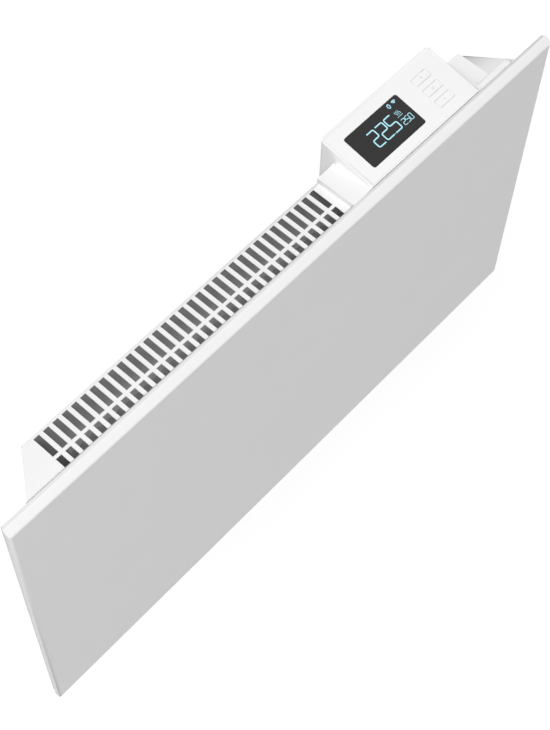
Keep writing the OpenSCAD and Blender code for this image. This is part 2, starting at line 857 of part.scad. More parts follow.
module control_housing() {
    color(moulding)
        difference() {
            union() {
                difference() {
                    intersection() {
                        side_extrude(unit_left, unit_right, unit_outline());
                        translate([0, 0, skirt_z])
                            linear_extrude(height = unit_top - skirt_z)
                                unit_plan();
                    }
                    side_extrude(unit_left + unit_wall, unit_right - unit_wall, bay_outline());
                    cover_opening(0, rear_wall + over);
                }
                translate([unit_left - sweep_w, 0, 0])
                    sweep();
                translate([unit_right + sweep_w, 0, 0])
                    mirror([1, 0, 0])
                        sweep();
                unit_lip();
                at_cover_screws()
                    translate([0, -cover_t, 0])
                        mirror([0, 1, 0])
                            rod_y(boss_r, unit_rear - cover_t - bay_y + unit_wall / 2);
                at_power_corners()
                    mirror([0, 1, 0])
                        rod_y(standoff_r, standoff_h + unit_wall / 2);
                at_board_posts()
                    cylinder(r = post_r, h = module_t + unit_wall / 4);
            }
            on_face([fascia_margin, fascia_front, -fascia_t])
                cube([unit_w - 2 * fascia_margin, face_len - fascia_front - fascia_rear, fascia_t + over]);
            on_face([window_x + window_w / 2, window_mid_s, -unit_wall - over])
                linear_extrude(height = unit_wall + over)
                    round_rect(window_w - 2 * window_ledge, window_h - 2 * window_ledge, window_corner_r);
            for (i = [-1:1])
                at_buttons(i)
                    translate([0, 0, -unit_wall - over])
                        linear_extrude(height = unit_wall + over)
                            button_hole();
            at_cover_screws()
                mirror([0, 1, 0])
                    rod_y(screw_r + pilot_clear, unit_rear - bay_y);
            at_power_corners()
                translate([0, -standoff_h - unit_wall / 2, 0])
                    rod_y(small_screw_r + pilot_clear, standoff_h + unit_wall);
            at_board_posts()
                translate([0, 0, -over])
                    cylinder(r = small_screw_r + pilot_clear, h = module_t + over - unit_wall / 4);
            at_unit_screws()
                rod_y(screw_r + pilot_clear, casing_sheet + unit_wall + over);
            for (x = [mains_grommet_x, element_grommet_x])
                translate([x, casing_back - over, grommet_z])
                    rod_y(grommet_r + fit, unit_wall + 2 * over);
        }
}

module fascia() {
    w = unit_w - 2 * (fascia_margin + fit);
    l = face_len - fascia_front - fascia_rear - 2 * fit;
    color(moulding)
        difference() {
            on_face([fascia_margin + fit, fascia_front + fit, -fascia_t])
                cube([w, l, fascia_t]);
            on_face([window_x + window_w / 2, window_mid_s, -fascia_t - over])
                linear_extrude(height = fascia_t + 2 * over)
                    round_rect(window_w + 2 * fit, window_h + 2 * fit, window_corner_r + fit);
            for (i = [-1:1])
                at_buttons(i)
                    translate([0, 0, -fascia_t - over])
                        linear_extrude(height = fascia_t + 2 * over)
                            button_hole();
        }
}

module display_window() {
    color(glass_black)
        on_face([window_x + window_w / 2, window_mid_s, -fascia_t])
            linear_extrude(height = fascia_t)
                round_rect(window_w, window_h, window_corner_r);
}

module display_module() {
    color(grey)
        on_face([window_x - module_rim, window_s - module_rim, board_top])
            cube([window_w + 2 * module_rim, window_h + 2 * module_rim, module_t]);
}

module button(i) {
    color(moulding)
        at_buttons(i) {
            translate([0, 0, lip_bottom])
                linear_extrude(height = -lip_bottom + button_proud)
                    round_rect(button_w, button_h, button_corner_r);
            translate([0, 0, lip_bottom])
                linear_extrude(height = button_lip_t)
                    round_rect(button_w + 2 * button_lip, button_h + 2 * button_lip, button_corner_r);
        }
}

module plunger(i) {
    color(black)
        at_buttons(i)
            translate([0, 0, switch_top - plunger_sunk])
                cylinder(r = plunger_r, h = plunger_top - switch_top + plunger_sunk);
}

module button_plus() {
    button(1);
}

module button_menu() {
    button(0);
}

module button_minus() {
    button(-1);
}

module plunger_plus() {
    plunger(1);
}

module plunger_menu() {
    plunger(0);
}

module plunger_minus() {
    plunger(-1);
}

module tact_switches() {
    color(grey)
        for (i = [-1:1])
            at_buttons(i)
                difference() {
                    translate([-switch_w / 2, -switch_w / 2, board_top])
                        cube([switch_w, switch_w, switch_h]);
                    translate([0, 0, board_top - over])
                        cylinder(r = plunger_r + run, h = switch_h + 2 * over);
                }
}

module control_board() {
    color(green)
        difference() {
            on_face([board_margin, board_s, board_top - board_t])
                cube([unit_w - 2 * board_margin, board_len, board_t]);
            at_board_posts()
                translate([0, 0, -board_t - over])
                    cylinder(r = small_screw_r + fit, h = board_t + 2 * over);
        }
}

module control_board_screws() {
    color(steel)
        at_board_posts()
            translate([0, 0, -board_t])
                rotate([90, 0, 0])
                    screw_y(board_t + module_t / 2, small_screw_r, small_head_r, small_head_h);
}

// Radio module with its shield, at the right end of the board
module wireless_module() {
    color(steel)
        on_face([unit_w - board_margin - radio_w - post_r, window_mid_s - radio_l / 2, board_top])
            cube([radio_w, radio_l, radio_h]);
}

module power_board() {
    color(green)
        difference() {
            block([unit_x - power_w / 2, power_y, power_low],
                  [unit_x + power_w / 2, power_top_y, power_low + power_h]);
            at_power_corners()
                translate([0, -over, 0])
                    rod_y(small_screw_r + fit, board_t + 2 * over);
        }
}

module power_board_screws() {
    color(steel)
        at_power_corners()
            translate([0, board_t, 0])
                rotate([180, 0, 0])
                    screw_y(board_t + standoff_h, small_screw_r, small_head_r, small_head_h);
}

// Place on the power board, as shares of its width and height
module on_power_board(share) {
    translate([unit_x + (share[0] - 1 / 2) * power_w, power_top_y, power_low + share[1] * power_h])
        children();
}

module relay() {
    color(black)
        on_power_board(relay_share)
            translate([-relay_w / 2, 0, -relay_l / 2])
                cube([relay_w, part_h, relay_l]);
}

module transformer() {
    winding = transformer_l * 3 / 4;
    color([0.85, 0.7, 0.25])
        on_power_board(transformer_share) {
            translate([-transformer_w / 2, 0, -transformer_l / 2])
                cube([transformer_w, part_h / 4, transformer_l]);
            translate([-transformer_w / 2 + core_rim, 0, -winding / 2])
                cube([transformer_w - 2 * core_rim, part_h, winding]);
        }
}

module capacitor() {
    color(black)
        on_power_board(capacitor_share)
            rod_y(capacitor_r, part_h);
}

module lead_connector() {
    color([0.93, 0.93, 0.88])
        on_power_board(connector_share)
            translate([-connector_w / 2, 0, -connector_h / 2])
                cube([connector_w, connector_d, connector_h]);
}

// Flat cable from the power board's upper edge to the underside of the control board
module ribbon_cable() {
    under = board_top - board_t;
    s = (power_top_y - unit_front + under * sin(face_tilt)) / cos(face_tilt);
    low = power_low + power_h - 2 * power_corner;
    high = face_z + s * sin(face_tilt) + under * cos(face_tilt);
    color(grey)
        block([unit_x - ribbon_w / 2, power_top_y, low],
              [unit_x + ribbon_w / 2, power_top_y + ribbon_t, high]);
}

module housing_cover() {
    color(moulding)
        difference() {
            cover_opening(cover_clear, cover_t);
            at_cover_screws()
                translate([0, -cover_t - over, 0])
                    rod_y(screw_r + fit, cover_t + 2 * over);
        }
}

module cover_screws() {
    color(steel)
        at_cover_screws()
            rotate([180, 0, 0])
                screw_y(cover_t + part_h / 2);
}

module unit_screws() {
    color(steel)
        at_unit_screws()
            screw_y(casing_sheet + unit_wall + over / 2);
}

module wire_grommets() {
    l = casing_sheet + unit_wall;
    color(black)
        for (x = [mains_grommet_x, element_grommet_x])
            translate([x, casing_inner, grommet_z])
                difference() {
                    union() {
                        rod_y(grommet_r, l);
                        translate([0, -grommet_rim_t, 0])
                            rod_y(grommet_r + grommet_rim, grommet_rim_t);
                        translate([0, l, 0])
                            rod_y(grommet_r + grommet_rim / 4, grommet_rim_t / 2);
                    }
                    translate([0, -grommet_rim_t - over, 0])
                        rod_y(grommet_bore_r, l + 2 * grommet_rim_t + 2 * over);
                }
}

// Wire through a list of places, round at each bend
module wire(points, r) {
    for (i = [0:len(points) - 2]) {
        d = points[i + 1] - points[i];
        translate(points[i])
            rotate([0, acos(d[2] / norm(d)), atan2(d[1], d[0])])
                cylinder(r = r, h = norm(d));
        if (i > 0)
            translate(points[i])
                sphere(r);
    }
}

module mains_lead() {
    z = terminal_z + terminal_h / 2;
    end_y = power_y - lead_sunk;
    color(black)
        wire([[corner_x + terminal_w / 4, casing_inner - terminal_d / 2, z],
              [corner_x + terminal_w / 4, casing_inner - terminal_d / 2, grommet_z - lead_drop],
              [mains_grommet_x, lead_y, grommet_z - lead_drop],
              [mains_grommet_x, lead_y, grommet_z],
              [mains_grommet_x, end_y, grommet_z]], wire_r);
}

module element_lead() {
    x = element_x + element_l / 2 + tube_end;
    end_y = power_y - lead_sunk;
    color(black)
        wire([[x, element_y, element_z],
              [x + 2 * lead_drop, element_y, element_z],
              [x + 2 * lead_drop, element_y, grommet_z - 2 * lead_drop],
              [x + 2 * lead_drop, lead_y, grommet_z - 2 * lead_drop],
              [element_grommet_x, lead_y, grommet_z - 2 * lead_drop],
              [element_grommet_x, lead_y, grommet_z],
              [element_grommet_x, end_y, grommet_z]], wire_r);
}

module terminal_block() {
    pitch = terminal_w / pole_count;
    color([0.92, 0.9, 0.84])
        difference() {
            translate([corner_x - terminal_w / 2, casing_inner - terminal_d, terminal_z - terminal_h / 2])
                cube([terminal_w, terminal_d, terminal_h]);
            for (i = [0:pole_count - 1])
                translate([corner_x - terminal_w / 2 + (i + 1 / 2) * pitch,
                           casing_inner - terminal_d - over, terminal_z])
                    rod_y(pitch / 5, terminal_d / 4 + over);
        }
}

module earth_screw() {
    color([0.8, 0.65, 0.3])
        translate([corner_x, casing_inner, terminal_z + terminal_h])
            screw_y(casing_sheet + over / 2);
}

module cable_gland() {
    color(black)
        translate([corner_x, service_y, casing_bottom])
            difference() {
                union() {
                    translate([0, 0, -gland_flange_t])
                        cylinder(r = gland_flange_r, h = gland_flange_t);
                    cylinder(r = gland_r, h = gland_reach);
                }
                translate([0, 0, -gland_flange_t - over])
                    cylinder(r = gland_bore_r, h = gland_flange_t + gland_reach + 2 * over);
            }
}

module gland_nut() {
    color(black)
        translate([corner_x, service_y, casing_bottom + casing_sheet])
            difference() {
                cylinder(r = nut_r, h = nut_t, $fn = 6);
                translate([0, 0, -over])
                    cylinder(r = gland_r + run, h = nut_t + 2 * over);
            }
}

module room_sensor() {
    color([0.9, 0.9, 0.88])
        translate([sensor_x, service_y, casing_bottom]) {
            translate([0, 0, -sensor_down])
                cylinder(r = sensor_r, h = sensor_down + sensor_up);
            translate([0, 0, casing_sheet])
                cylinder(r = sensor_flange_r, h = sensor_flange_t);
        }
}

module hook() {
    translate([-hook_w / 2, hook_reach, -bracket_sheet])
        cube([hook_w, crown_y - hook_reach + bracket_sheet / 2, bracket_sheet]);
    translate([-hook_w / 2, hook_reach, -bracket_sheet])
        cube([hook_w, bracket_sheet, bracket_sheet + nib_h]);
}

module wall_bracket() {
    color(zinc)
        difference() {
            union() {
                for (x = [-upright_x, upright_x])
                    translate([x, 0, 0])
                        mirror([0, 1, 0])
                            hat(upright_w, -crown_y, foot_w, bracket_sheet, bracket_h);
                for (z = [-strip_z, strip_z])
                    block([-upright_x, -bracket_sheet, z - strip_h / 2], [upright_x, 0, z + strip_h / 2]);
                at_hooks()
                    hook();
            }
            for (x = [-hole_dx / 2, hole_dx / 2], z = [-hole_dz / 2, hole_dz / 2])
                translate([x, -bracket_sheet - over, z])
                    rod_y(hole_r, bracket_sheet + 2 * over);
        }
}

module bracket_pads() {
    color(black)
        for (x = [-upright_x, upright_x], z = [-pad_spacing / 2, pad_spacing / 2])
            translate([x, casing_back + pad_gap, z])
                rod_y(pad_r, crown_gap - pad_gap);
}

front_panel();
panel_rails();
inner_plate();
panel_screws();
rear_casing();
casing_screws();
heating_element();
element_caps();
element_brackets();
element_screws();
heat_shield();
cutout_bracket();
thermal_cutout();
control_housing();
fascia();
display_window();
display_module();
button_plus();
button_menu();
button_minus();
plunger_plus();
plunger_menu();
plunger_minus();
tact_switches();
control_board();
control_board_screws();
wireless_module();
power_board();
power_board_screws();
relay();
transformer();
capacitor();
lead_connector();
ribbon_cable();
housing_cover();
cover_screws();
unit_screws();
wire_grommets();
mains_lead();
element_lead();
terminal_block();
earth_screw();
cable_gland();
gland_nut();
room_sensor();
wall_bracket();
bracket_pads();
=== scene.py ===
"""Visual model of a wall panel convector heater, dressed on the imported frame. Metres, +Z up."""
import json
import math

import bmesh
import bpy
from mathutils import Euler, Matrix, Vector


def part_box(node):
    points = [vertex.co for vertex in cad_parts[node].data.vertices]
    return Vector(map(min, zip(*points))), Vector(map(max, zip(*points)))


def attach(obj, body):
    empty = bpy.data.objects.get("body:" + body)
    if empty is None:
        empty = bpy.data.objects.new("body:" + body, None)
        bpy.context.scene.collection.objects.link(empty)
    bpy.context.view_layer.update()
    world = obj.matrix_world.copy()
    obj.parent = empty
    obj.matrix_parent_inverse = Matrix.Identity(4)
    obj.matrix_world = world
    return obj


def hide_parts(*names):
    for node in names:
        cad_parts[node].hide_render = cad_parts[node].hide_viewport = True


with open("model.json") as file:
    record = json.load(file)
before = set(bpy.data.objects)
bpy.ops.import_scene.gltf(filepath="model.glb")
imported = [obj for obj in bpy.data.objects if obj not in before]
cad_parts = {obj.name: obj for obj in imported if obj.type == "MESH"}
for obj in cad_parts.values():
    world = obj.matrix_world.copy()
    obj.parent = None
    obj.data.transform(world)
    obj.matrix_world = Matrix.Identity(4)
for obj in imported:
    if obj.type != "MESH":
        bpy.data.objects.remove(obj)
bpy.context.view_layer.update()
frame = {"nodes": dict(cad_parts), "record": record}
NODES = frame["nodes"]
RECORD = frame["record"]
SLOT_OF = {part["node"]: part["material_slot"] for part in RECORD["subparts"]}
BODY_OF = {node: body for body, members in RECORD["behaviour"]["bodies"].items()
           for node in members}
MM = 0.001
WHITE = (1, 1, 1, 1)

# The operating face as in the part's source, and places on it in millimetres, across and deep
# from its front left corner
FACE_TILT = math.radians(11)
FACE_ORIGIN = Vector((98, -72.2, 186.2)) * MM
FACE_TURN = Euler((FACE_TILT, 0, 0))
FACE_UP = Vector((0, -math.sin(FACE_TILT), math.cos(FACE_TILT)))
WINDOW_LOW = (15.5, 11.1)
WINDOW_SIZE = (69, 37)
BUTTON_MIDDLE = {"button_minus": (114.5, 15.5), "button_menu": (114.5, 29.6),
                 "button_plus": (114.5, 43.7)}

# Numbers of sockets that share their names with the node's other kinds of value
MIX_FACTOR, MIX_FIRST, MIX_SECOND, MIX_RESULT = 0, 6, 7, 2
RANDOM_LOW, RANDOM_HIGH, RANDOM_SEED, RANDOM_RESULT = 2, 3, 8, 1


# Finishes

class Value:
    """A node's socket that can stand in sums and products."""

    def __init__(self, maker, socket):
        self.maker = maker
        self.socket = socket

    def _math(self, operation, first, second):
        return self.maker.node("ShaderNodeMath", {"operation": operation}, {0: first, 1: second})

    def __add__(self, other):
        return self._math("ADD", self, other)

    def __radd__(self, other):
        return self._math("ADD", other, self)

    def __sub__(self, other):
        return self._math("SUBTRACT", self, other)

    def __rsub__(self, other):
        return self._math("SUBTRACT", other, self)

    def __mul__(self, other):
        return self._math("MULTIPLY", self, other)

    def __rmul__(self, other):
        return self._math("MULTIPLY", other, self)


class Maker:
    """Adds nodes to a tree by one method."""

    def __init__(self, tree):
        self.tree = tree

    def node(self, kind, settings=None, sockets=None, output=0):
        """Any node: its settings first, then the values or links of its sockets.

        A list links several to one socket.
        """
        made = self.tree.nodes.new(kind)
        for key, value in (settings or {}).items():
            setattr(made, key, value)
        for key, value in (sockets or {}).items():
            for part in (value if isinstance(value, list) else [value]):
                if isinstance(part, Value):
                    self.tree.links.new(part.socket, made.inputs[key])
                else:
                    made.inputs[key].default_value = part
        return Value(self, made.outputs[output]) if made.outputs else None

    def stretched(self, vector, stretch):
        """A vector times a number for each axis."""
        return self.node("ShaderNodeVectorMath", {"operation": "MULTIPLY"},
                         {0: vector, 1: stretch})

    def coordinate(self, vector, axis):
        return self.node("ShaderNodeSeparateXYZ", None, {0: vector}, axis)


class Finish(Maker):
    """One material and the nodes that make it."""

    def __init__(self, name):
        self.material = bpy.data.materials.new(name)
        self.material.use_nodes = True
        super().__init__(self.material.node_tree)
        self.tree.nodes.clear()
        self.place = self.node("ShaderNodeTexCoord", output="Object")

    def noise(self, scale, detail=2.0, rough=0.5, stretch=None):
        """Cloudy noise, 0 to 1; a small stretch draws it out along that axis."""
        vector = self.stretched(self.place, stretch) if stretch else self.place
        return self.node("ShaderNodeTexNoise", None,
                         {"Vector": vector, "Scale": scale, "Detail": detail, "Roughness": rough},
                         "Fac")

    def cells(self, scale, feature="F1", output="Distance", smooth=0.0):
        """Distance from, or colour of, the nearest of scattered points."""
        sockets = {"Vector": self.place, "Scale": scale}
        if smooth:
            sockets["Smoothness"] = smooth
        return self.node("ShaderNodeTexVoronoi", {"feature": feature}, sockets, output)

    def bands(self, scale, axis, distort=0.0, profile="SIN"):
        """Even bands across an axis."""
        settings = {"wave_type": "BANDS", "bands_direction": axis, "wave_profile": profile}
        return self.node("ShaderNodeTexWave", settings,
                         {"Vector": self.place, "Scale": scale, "Distortion": distort}, "Fac")

    def rise(self, value, start, end):
        """0 before start, 1 after end, smooth between."""
        return self.node("ShaderNodeMapRange", {"interpolation_type": "SMOOTHSTEP"},
                         {"Value": value, "From Min": start, "From Max": end,
                          "To Min": 0.0, "To Max": 1.0})

    def along(self, axis):
        """Place on the piece along an axis."""
        return self.coordinate(self.place, axis)

    def facing(self, axis):
        """How far the surface looks along an axis, -1 to 1."""
        return self.coordinate(self.node("ShaderNodeNewGeometry", output="Normal"), axis)

    def mix(self, mask, first, second):
        """The first colour where the mask is 0, the second where it is 1."""
        first, second = (c if isinstance(c, Value) else (*c, 1) for c in (first, second))
        return self.node("ShaderNodeMix", {"data_type": "RGBA"},
                         {MIX_FACTOR: mask, MIX_FIRST: first, MIX_SECOND: second}, MIX_RESULT)

    def bump(self, height, depth, strength):
        """The relief of a height from 0 to 1, depth in millimetres."""
        return self.node("ShaderNodeBump", None,
                         {"Height": height, "Distance": depth * MM, "Strength": strength})

    def surface(self, colour, roughness, relief=None, metallic=0.0, more=None):
        """The finished material; more holds the shader's other sockets."""
        sockets = {"Base Color": colour, "Roughness": roughness, "Metallic": metallic}
        if relief:
            sockets["Normal"] = relief
        sockets.update(more or {})
        shader = self.node("ShaderNodeBsdfPrincipled", None, sockets)
        self.node("ShaderNodeOutputMaterial", None, {"Surface": shader})
        return self.material


def times(colour, factor):
    return tuple(channel * factor for channel in colour)


def powder_coat(name, light, dark, inside=None):
    """Satin polyester coat: orange peel, fine specks, a little dust on what looks up."""
    coat = Finish(name)
    cloud = coat.noise(9, detail=3)
    peel = coat.noise(620, detail=3, rough=0.55)
    grain = coat.noise(2600, rough=0.6)
    specks = coat.rise(coat.cells(900), 0.16, 0.05)
    speck_tone = (light[0] * 0.8, light[1] * 0.8, light[2] * 0.79)
    settled = coat.rise(coat.noise(60, detail=4, rough=0.65), 0.55, 0.8)
    dust = coat.rise(coat.facing("Z"), 0.6, 0.95) * settled
    colour = coat.mix(cloud, dark, light)
    colour = coat.mix(specks * 0.25, colour, speck_tone)
    colour = coat.mix(dust * 0.12, colour, (0.78, 0.77, 0.74))
    # inside, where given, lays painted shade on the inner faces
    if inside:
        colour = inside(coat, colour)
    relief = coat.bump(peel * 0.75 + grain * 0.25, depth=0.05, strength=0.5)
    return coat.surface(colour, 0.4 + peel * 0.12 + dust * 0.2, relief,
                        more={"Specular IOR Level": 0.4})


def painted_shade_inside(coat, colour):
    """Painted shade: the casing's inner faces are greyed, most under the outlet, standing for the
    shade inside the casing seen through the slots.

    The outer faces of its top and back keep their coat.
    """
    under_top = coat.rise(coat.along("Z"), 176.8 * MM, 176.0 * MM)
    near_outlet = coat.rise(coat.along("Z"), 110 * MM, 160 * MM)
    before_back = coat.rise(coat.along("Y"), -30.5 * MM, -31.1 * MM)
    # painted shade: a grey laid on the inner faces
    return coat.mix(under_top * near_outlet * before_back, colour, (0.6, 0.6, 0.605))


def moulded(name, colour, roughness, grain=0.35, scale=1900):
    """Injection moulded plastic with a spark-eroded grain and faint flow clouds."""
    plastic = Finish(name)
    cloud = plastic.noise(22, detail=3)
    pits = plastic.cells(scale, "SMOOTH_F1", smooth=0.6)
    fine = plastic.noise(scale * 1.7)
    tone = plastic.mix(cloud, times(colour, 0.965), colour)
    relief = plastic.bump(pits * 0.6 + fine * 0.4, depth=0.03, strength=grain)
    return plastic.surface(tone, roughness - 0.04 + fine * 0.1, relief,
                           more={"Specular IOR Level": 0.4})


def galvanised(name, light, dark, scale, cut=None):
    """Hot-dip zinc: spangles with their own tone, gloss and slight relief.

    The last argument, if given, is the tone of painted shade laid on the faces that look up.
    """
    zinc = Finish(name)
    spangle = zinc.cells(scale, output="Color")
    tone = zinc.node("ShaderNodeSeparateColor", None, {0: spangle}, "Red")
    edge = zinc.cells(scale, "DISTANCE_TO_EDGE")
    streak = zinc.noise(300, detail=3, rough=0.6, stretch=(1, 1, 6))
    seam = 1 - zinc.rise(edge, 0.0, 0.06)
    colour = zinc.mix(tone * 0.7 + streak * 0.3, dark, light)
    colour = zinc.mix(seam * 0.35, colour, dark)
    # painted shade on the faces that look up
    if cut:
        colour = zinc.mix(zinc.rise(zinc.facing("Z"), 0.9, 0.98), colour, cut)
    relief = zinc.bump(tone * 0.4 + streak * 0.6 - seam * 0.3, depth=0.04, strength=0.35)
    return zinc.surface(colour, 0.3 + tone * 0.18 + streak * 0.1, relief, metallic=1.0)


def plated(name, light, dark, roughness=0.28):
    """Bright plated fastener metal with turning marks and small stains."""
    plate = Finish(name)
    marks = plate.noise(1500, detail=3, rough=0.6)
    stain = plate.rise(plate.noise(240, detail=4, rough=0.6), 0.5, 0.75)
    colour = plate.mix(marks, dark, light)
    colour = plate.mix(stain * 0.3, colour, times(dark, 0.7))
    return plate.surface(colour, roughness + marks * 0.12 + stain * 0.12,
                         plate.bump(marks, depth=0.02, strength=0.4), metallic=1.0)


def drawn_metal(name, light, dark, stretch, roughness, scale=900, metallic=1.0, dulled=None):
    """Rolled or extruded metal: long fine lines and soft cloudy oxide.

    The last argument, if given, is the tone of painted shade on what looks up.
    """
    metal = Finish(name)
    lines = metal.noise(scale, detail=4, rough=0.65, stretch=stretch)
    oxide = metal.noise(45, detail=4, rough=0.6)
    colour = metal.mix(lines * 0.6 + oxide * 0.4, dark, light)
    # painted shade on what looks up
    if dulled:
        colour = metal.mix(metal.rise(metal.facing("Z"), 0.4, 0.8), colour, dulled)
    return metal.surface(colour, roughness + lines * 0.14 + oxide * 0.06,
                         metal.bump(lines, depth=0.03, strength=0.35), metallic)


def glazed(name):
    """Cream ceramic with brown specks."""
    glaze = Finish(name)
    grain = glaze.noise(900, detail=4, rough=0.6)
    specks = glaze.rise(glaze.cells(700), 0.22, 0.08)
    colour = glaze.mix(grain, (0.72, 0.67, 0.56), (0.84, 0.8, 0.71))
    colour = glaze.mix(specks * 0.5, colour, (0.42, 0.34, 0.25))
    return glaze.surface(colour, 0.45 + grain * 0.2,
                         glaze.bump(grain - specks * 0.4, depth=0.06, strength=0.5))


def window_gloss(name):
    """Smoked window: nearly black, polished, with the faintest wipe marks."""
    smoke = Finish(name)
    smear = smoke.noise(70, detail=3, rough=0.6, stretch=(1, 3, 1))
    fine = smoke.noise(900)
    colour = smoke.mix(smear, (0.021, 0.021, 0.022), (0.025, 0.025, 0.026))
    return smoke.surface(colour, 0.16 + smear * 0.1 + fine * 0.03,
                         smoke.bump(fine, depth=0.004, strength=0.2),
                         more={"Specular IOR Level": 0.25})


def solder_mask(name):
    """Green board: tracks under the mask, drilled dots and a woven glass ground."""
    board = Finish(name)
    tracks = board.node("ShaderNodeTexBrick", {"offset": 0.37, "squash": 0.6},
                        {"Vector": board.place, "Scale": 150.0, "Mortar Size": 0.045,
                         "Mortar Smooth": 0.2, "Brick Width": 0.9, "Row Height": 0.42}, "Fac")
    dots = 1 - board.rise(board.cells(330), 0.1, 0.16)
    weave = board.noise(1100, stretch=(1, 0.25, 1))
    colour = board.mix(weave, (0.012, 0.085, 0.035), (0.02, 0.125, 0.05))
    colour = board.mix(tracks * 0.7, colour, (0.045, 0.25, 0.09))
    colour = board.mix(dots * 0.8, colour, (0.55, 0.5, 0.36))
    return board.surface(colour, 0.3 + weave * 0.12,
                         board.bump(tracks + dots * 0.5, depth=0.03, strength=0.6))


def cured_black(name, roughness, tone):
    """Black moulded or potted pieces with a sandy grain."""
    resin = Finish(name)
    grain = resin.noise(1400, detail=3, rough=0.6)
    cloud = resin.noise(90, detail=3)
    colour = resin.mix(cloud, (tone * 0.7,) * 3, (tone * 1.25,) * 3)
    return resin.surface(colour, roughness - 0.08 + grain * 0.2,
                         resin.bump(grain, depth=0.03, strength=0.6))


def wound_tape(name):
    """Yellow polyester tape wound over a coil: lapped edges across the turns."""
    tape = Finish(name)
    laps = tape.bands(95, "Z", distort=0.6, profile="SAW")
    crease = tape.noise(420, detail=3, rough=0.6, stretch=(1, 1, 4))
    colour = tape.mix(laps, (0.62, 0.36, 0.035), (0.78, 0.52, 0.08))
    colour = tape.mix(crease * 0.3, colour, (0.45, 0.26, 0.04))
    return tape.surface(colour, 0.25 + crease * 0.15,
                        tape.bump(laps * 0.6 + crease * 0.4, depth=0.08, strength=0.6),
                        more={"Coat Weight": 0.3})


def flat_cable(name):
    """Grey flat cable: a rib for each conductor."""
    ribbon = Finish(name)
    ribs = ribbon.bands(250, "X")
    cloud = ribbon.noise(150, detail=3)
    colour = ribbon.mix(ribs, (0.2, 0.2, 0.21), (0.38, 0.38, 0.4))
    colour = ribbon.mix(cloud * 0.25, colour, (0.28, 0.28, 0.3))
    return ribbon.surface(colour, 0.42 + cloud * 0.12,
                          ribbon.bump(ribs, depth=0.2, strength=0.8))


def sleeve(name, tone, roughness):
    """Soft black sleeve or rubber: fine flow lines and a dusty bloom."""
    rubber = Finish(name)
    bloom = rubber.noise(120, detail=4, rough=0.6)
    lines = rubber.noise(900, stretch=(1, 1, 0.2))
    colour = rubber.mix(bloom, (tone, tone, tone * 1.02), (tone * 2.0, tone * 2.0, tone * 2.05))
    return rubber.surface(colour, roughness + bloom * 0.15,
                          rubber.bump(lines * 0.5 + bloom * 0.5, depth=0.04, strength=0.5))


def glow(name, colour, strength):
    """Lit segments, a little uneven in brightness."""
    segment = Finish(name)
    cloud = segment.noise(400)
    lit = segment.mix(cloud, times(colour, 0.86), colour)
    unlit = segment.mix(cloud, (0.02, 0.03, 0.03), (0.03, 0.04, 0.045))
    return segment.surface(unlit, 0.4 + cloud * 0.1,
                           more={"Emission Color": lit, "Emission Strength": strength})


def print_ink(name, light, dark):
    """Screen printed ink."""
    ink = Finish(name)
    screen = ink.noise(2400)
    return ink.surface(ink.mix(screen, dark, light), 0.45 + screen * 0.1,
                       ink.bump(screen, depth=0.01, strength=0.4))


# Each material slot: what makes its finish, and with which values
RECIPES = {
    "panel_paint": (powder_coat, dict(light=(0.9, 0.9, 0.9), dark=(0.875, 0.875, 0.877))),
    # The casing's coat, with painted shade on its inner faces
    "casing_paint": (powder_coat, dict(light=(0.88, 0.88, 0.88), dark=(0.855, 0.855, 0.857),
                                       inside=painted_shade_inside)),
    # Zinc steel, with painted shade on its faces that look up
    "zinc_steel": (galvanised, dict(light=(0.8, 0.81, 0.82), dark=(0.66, 0.67, 0.69), scale=130,
                                    cut=(0.38, 0.38, 0.385))),
    "bracket_steel": (galvanised, dict(light=(0.66, 0.67, 0.68), dark=(0.48, 0.49, 0.51),
                                       scale=230)),
    "screw_steel": (plated, dict(light=(0.68, 0.68, 0.67), dark=(0.5, 0.5, 0.5))),
    "element_aluminium": (drawn_metal, dict(light=(0.66, 0.67, 0.68), dark=(0.48, 0.49, 0.5),
                                            stretch=(0.06, 1, 1), roughness=0.34)),
    # Aluminium shield, with painted shade on what looks up
    "shield_aluminium": (drawn_metal, dict(light=(0.9, 0.9, 0.905), dark=(0.84, 0.84, 0.845),
                                           stretch=(0.04, 1, 1), roughness=0.5, scale=600,
                                           metallic=0.1, dulled=(0.37, 0.37, 0.375))),
    "ceramic": (glazed, {}),
    "housing_white": (moulded, dict(colour=(0.92, 0.92, 0.92), roughness=0.42)),
    "fascia_white": (moulded, dict(colour=(0.93, 0.93, 0.93), roughness=0.34, grain=0.2)),
    "button_white": (moulded, dict(colour=(0.93, 0.93, 0.93), roughness=0.36, grain=0.2)),
    "window_black": (window_gloss, {}),
    "module_grey": (moulded, dict(colour=(0.24, 0.245, 0.255), roughness=0.5, grain=0.6)),
    "board_green": (solder_mask, {}),
    "shield_can": (drawn_metal, dict(light=(0.72, 0.72, 0.7), dark=(0.58, 0.58, 0.57),
                                     stretch=(1, 1, 0.1), roughness=0.3)),
    "part_black": (cured_black, dict(roughness=0.5, tone=0.03)),
    "winding_tape": (wound_tape, {}),
    "connector_cream": (moulded, dict(colour=(0.78, 0.74, 0.62), roughness=0.45, grain=0.5,
                                      scale=1500)),
    "ribbon_grey": (flat_cable, {}),
    "wire_black": (sleeve, dict(tone=0.022, roughness=0.34)),
    "rubber_black": (sleeve, dict(tone=0.03, roughness=0.6)),
    "brass": (plated, dict(light=(0.82, 0.62, 0.28), dark=(0.6, 0.42, 0.16), roughness=0.3)),
}
FINISH = {slot: make(slot, **values) for slot, (make, values) in RECIPES.items()}
GLOW = glow("display_glow", (0.46, 0.88, 1.0), strength=1.0)
INK = print_ink("mark_grey", light=(0.56, 0.56, 0.57), dark=(0.5, 0.5, 0.51))


# Pieces with the shape of their CAD node

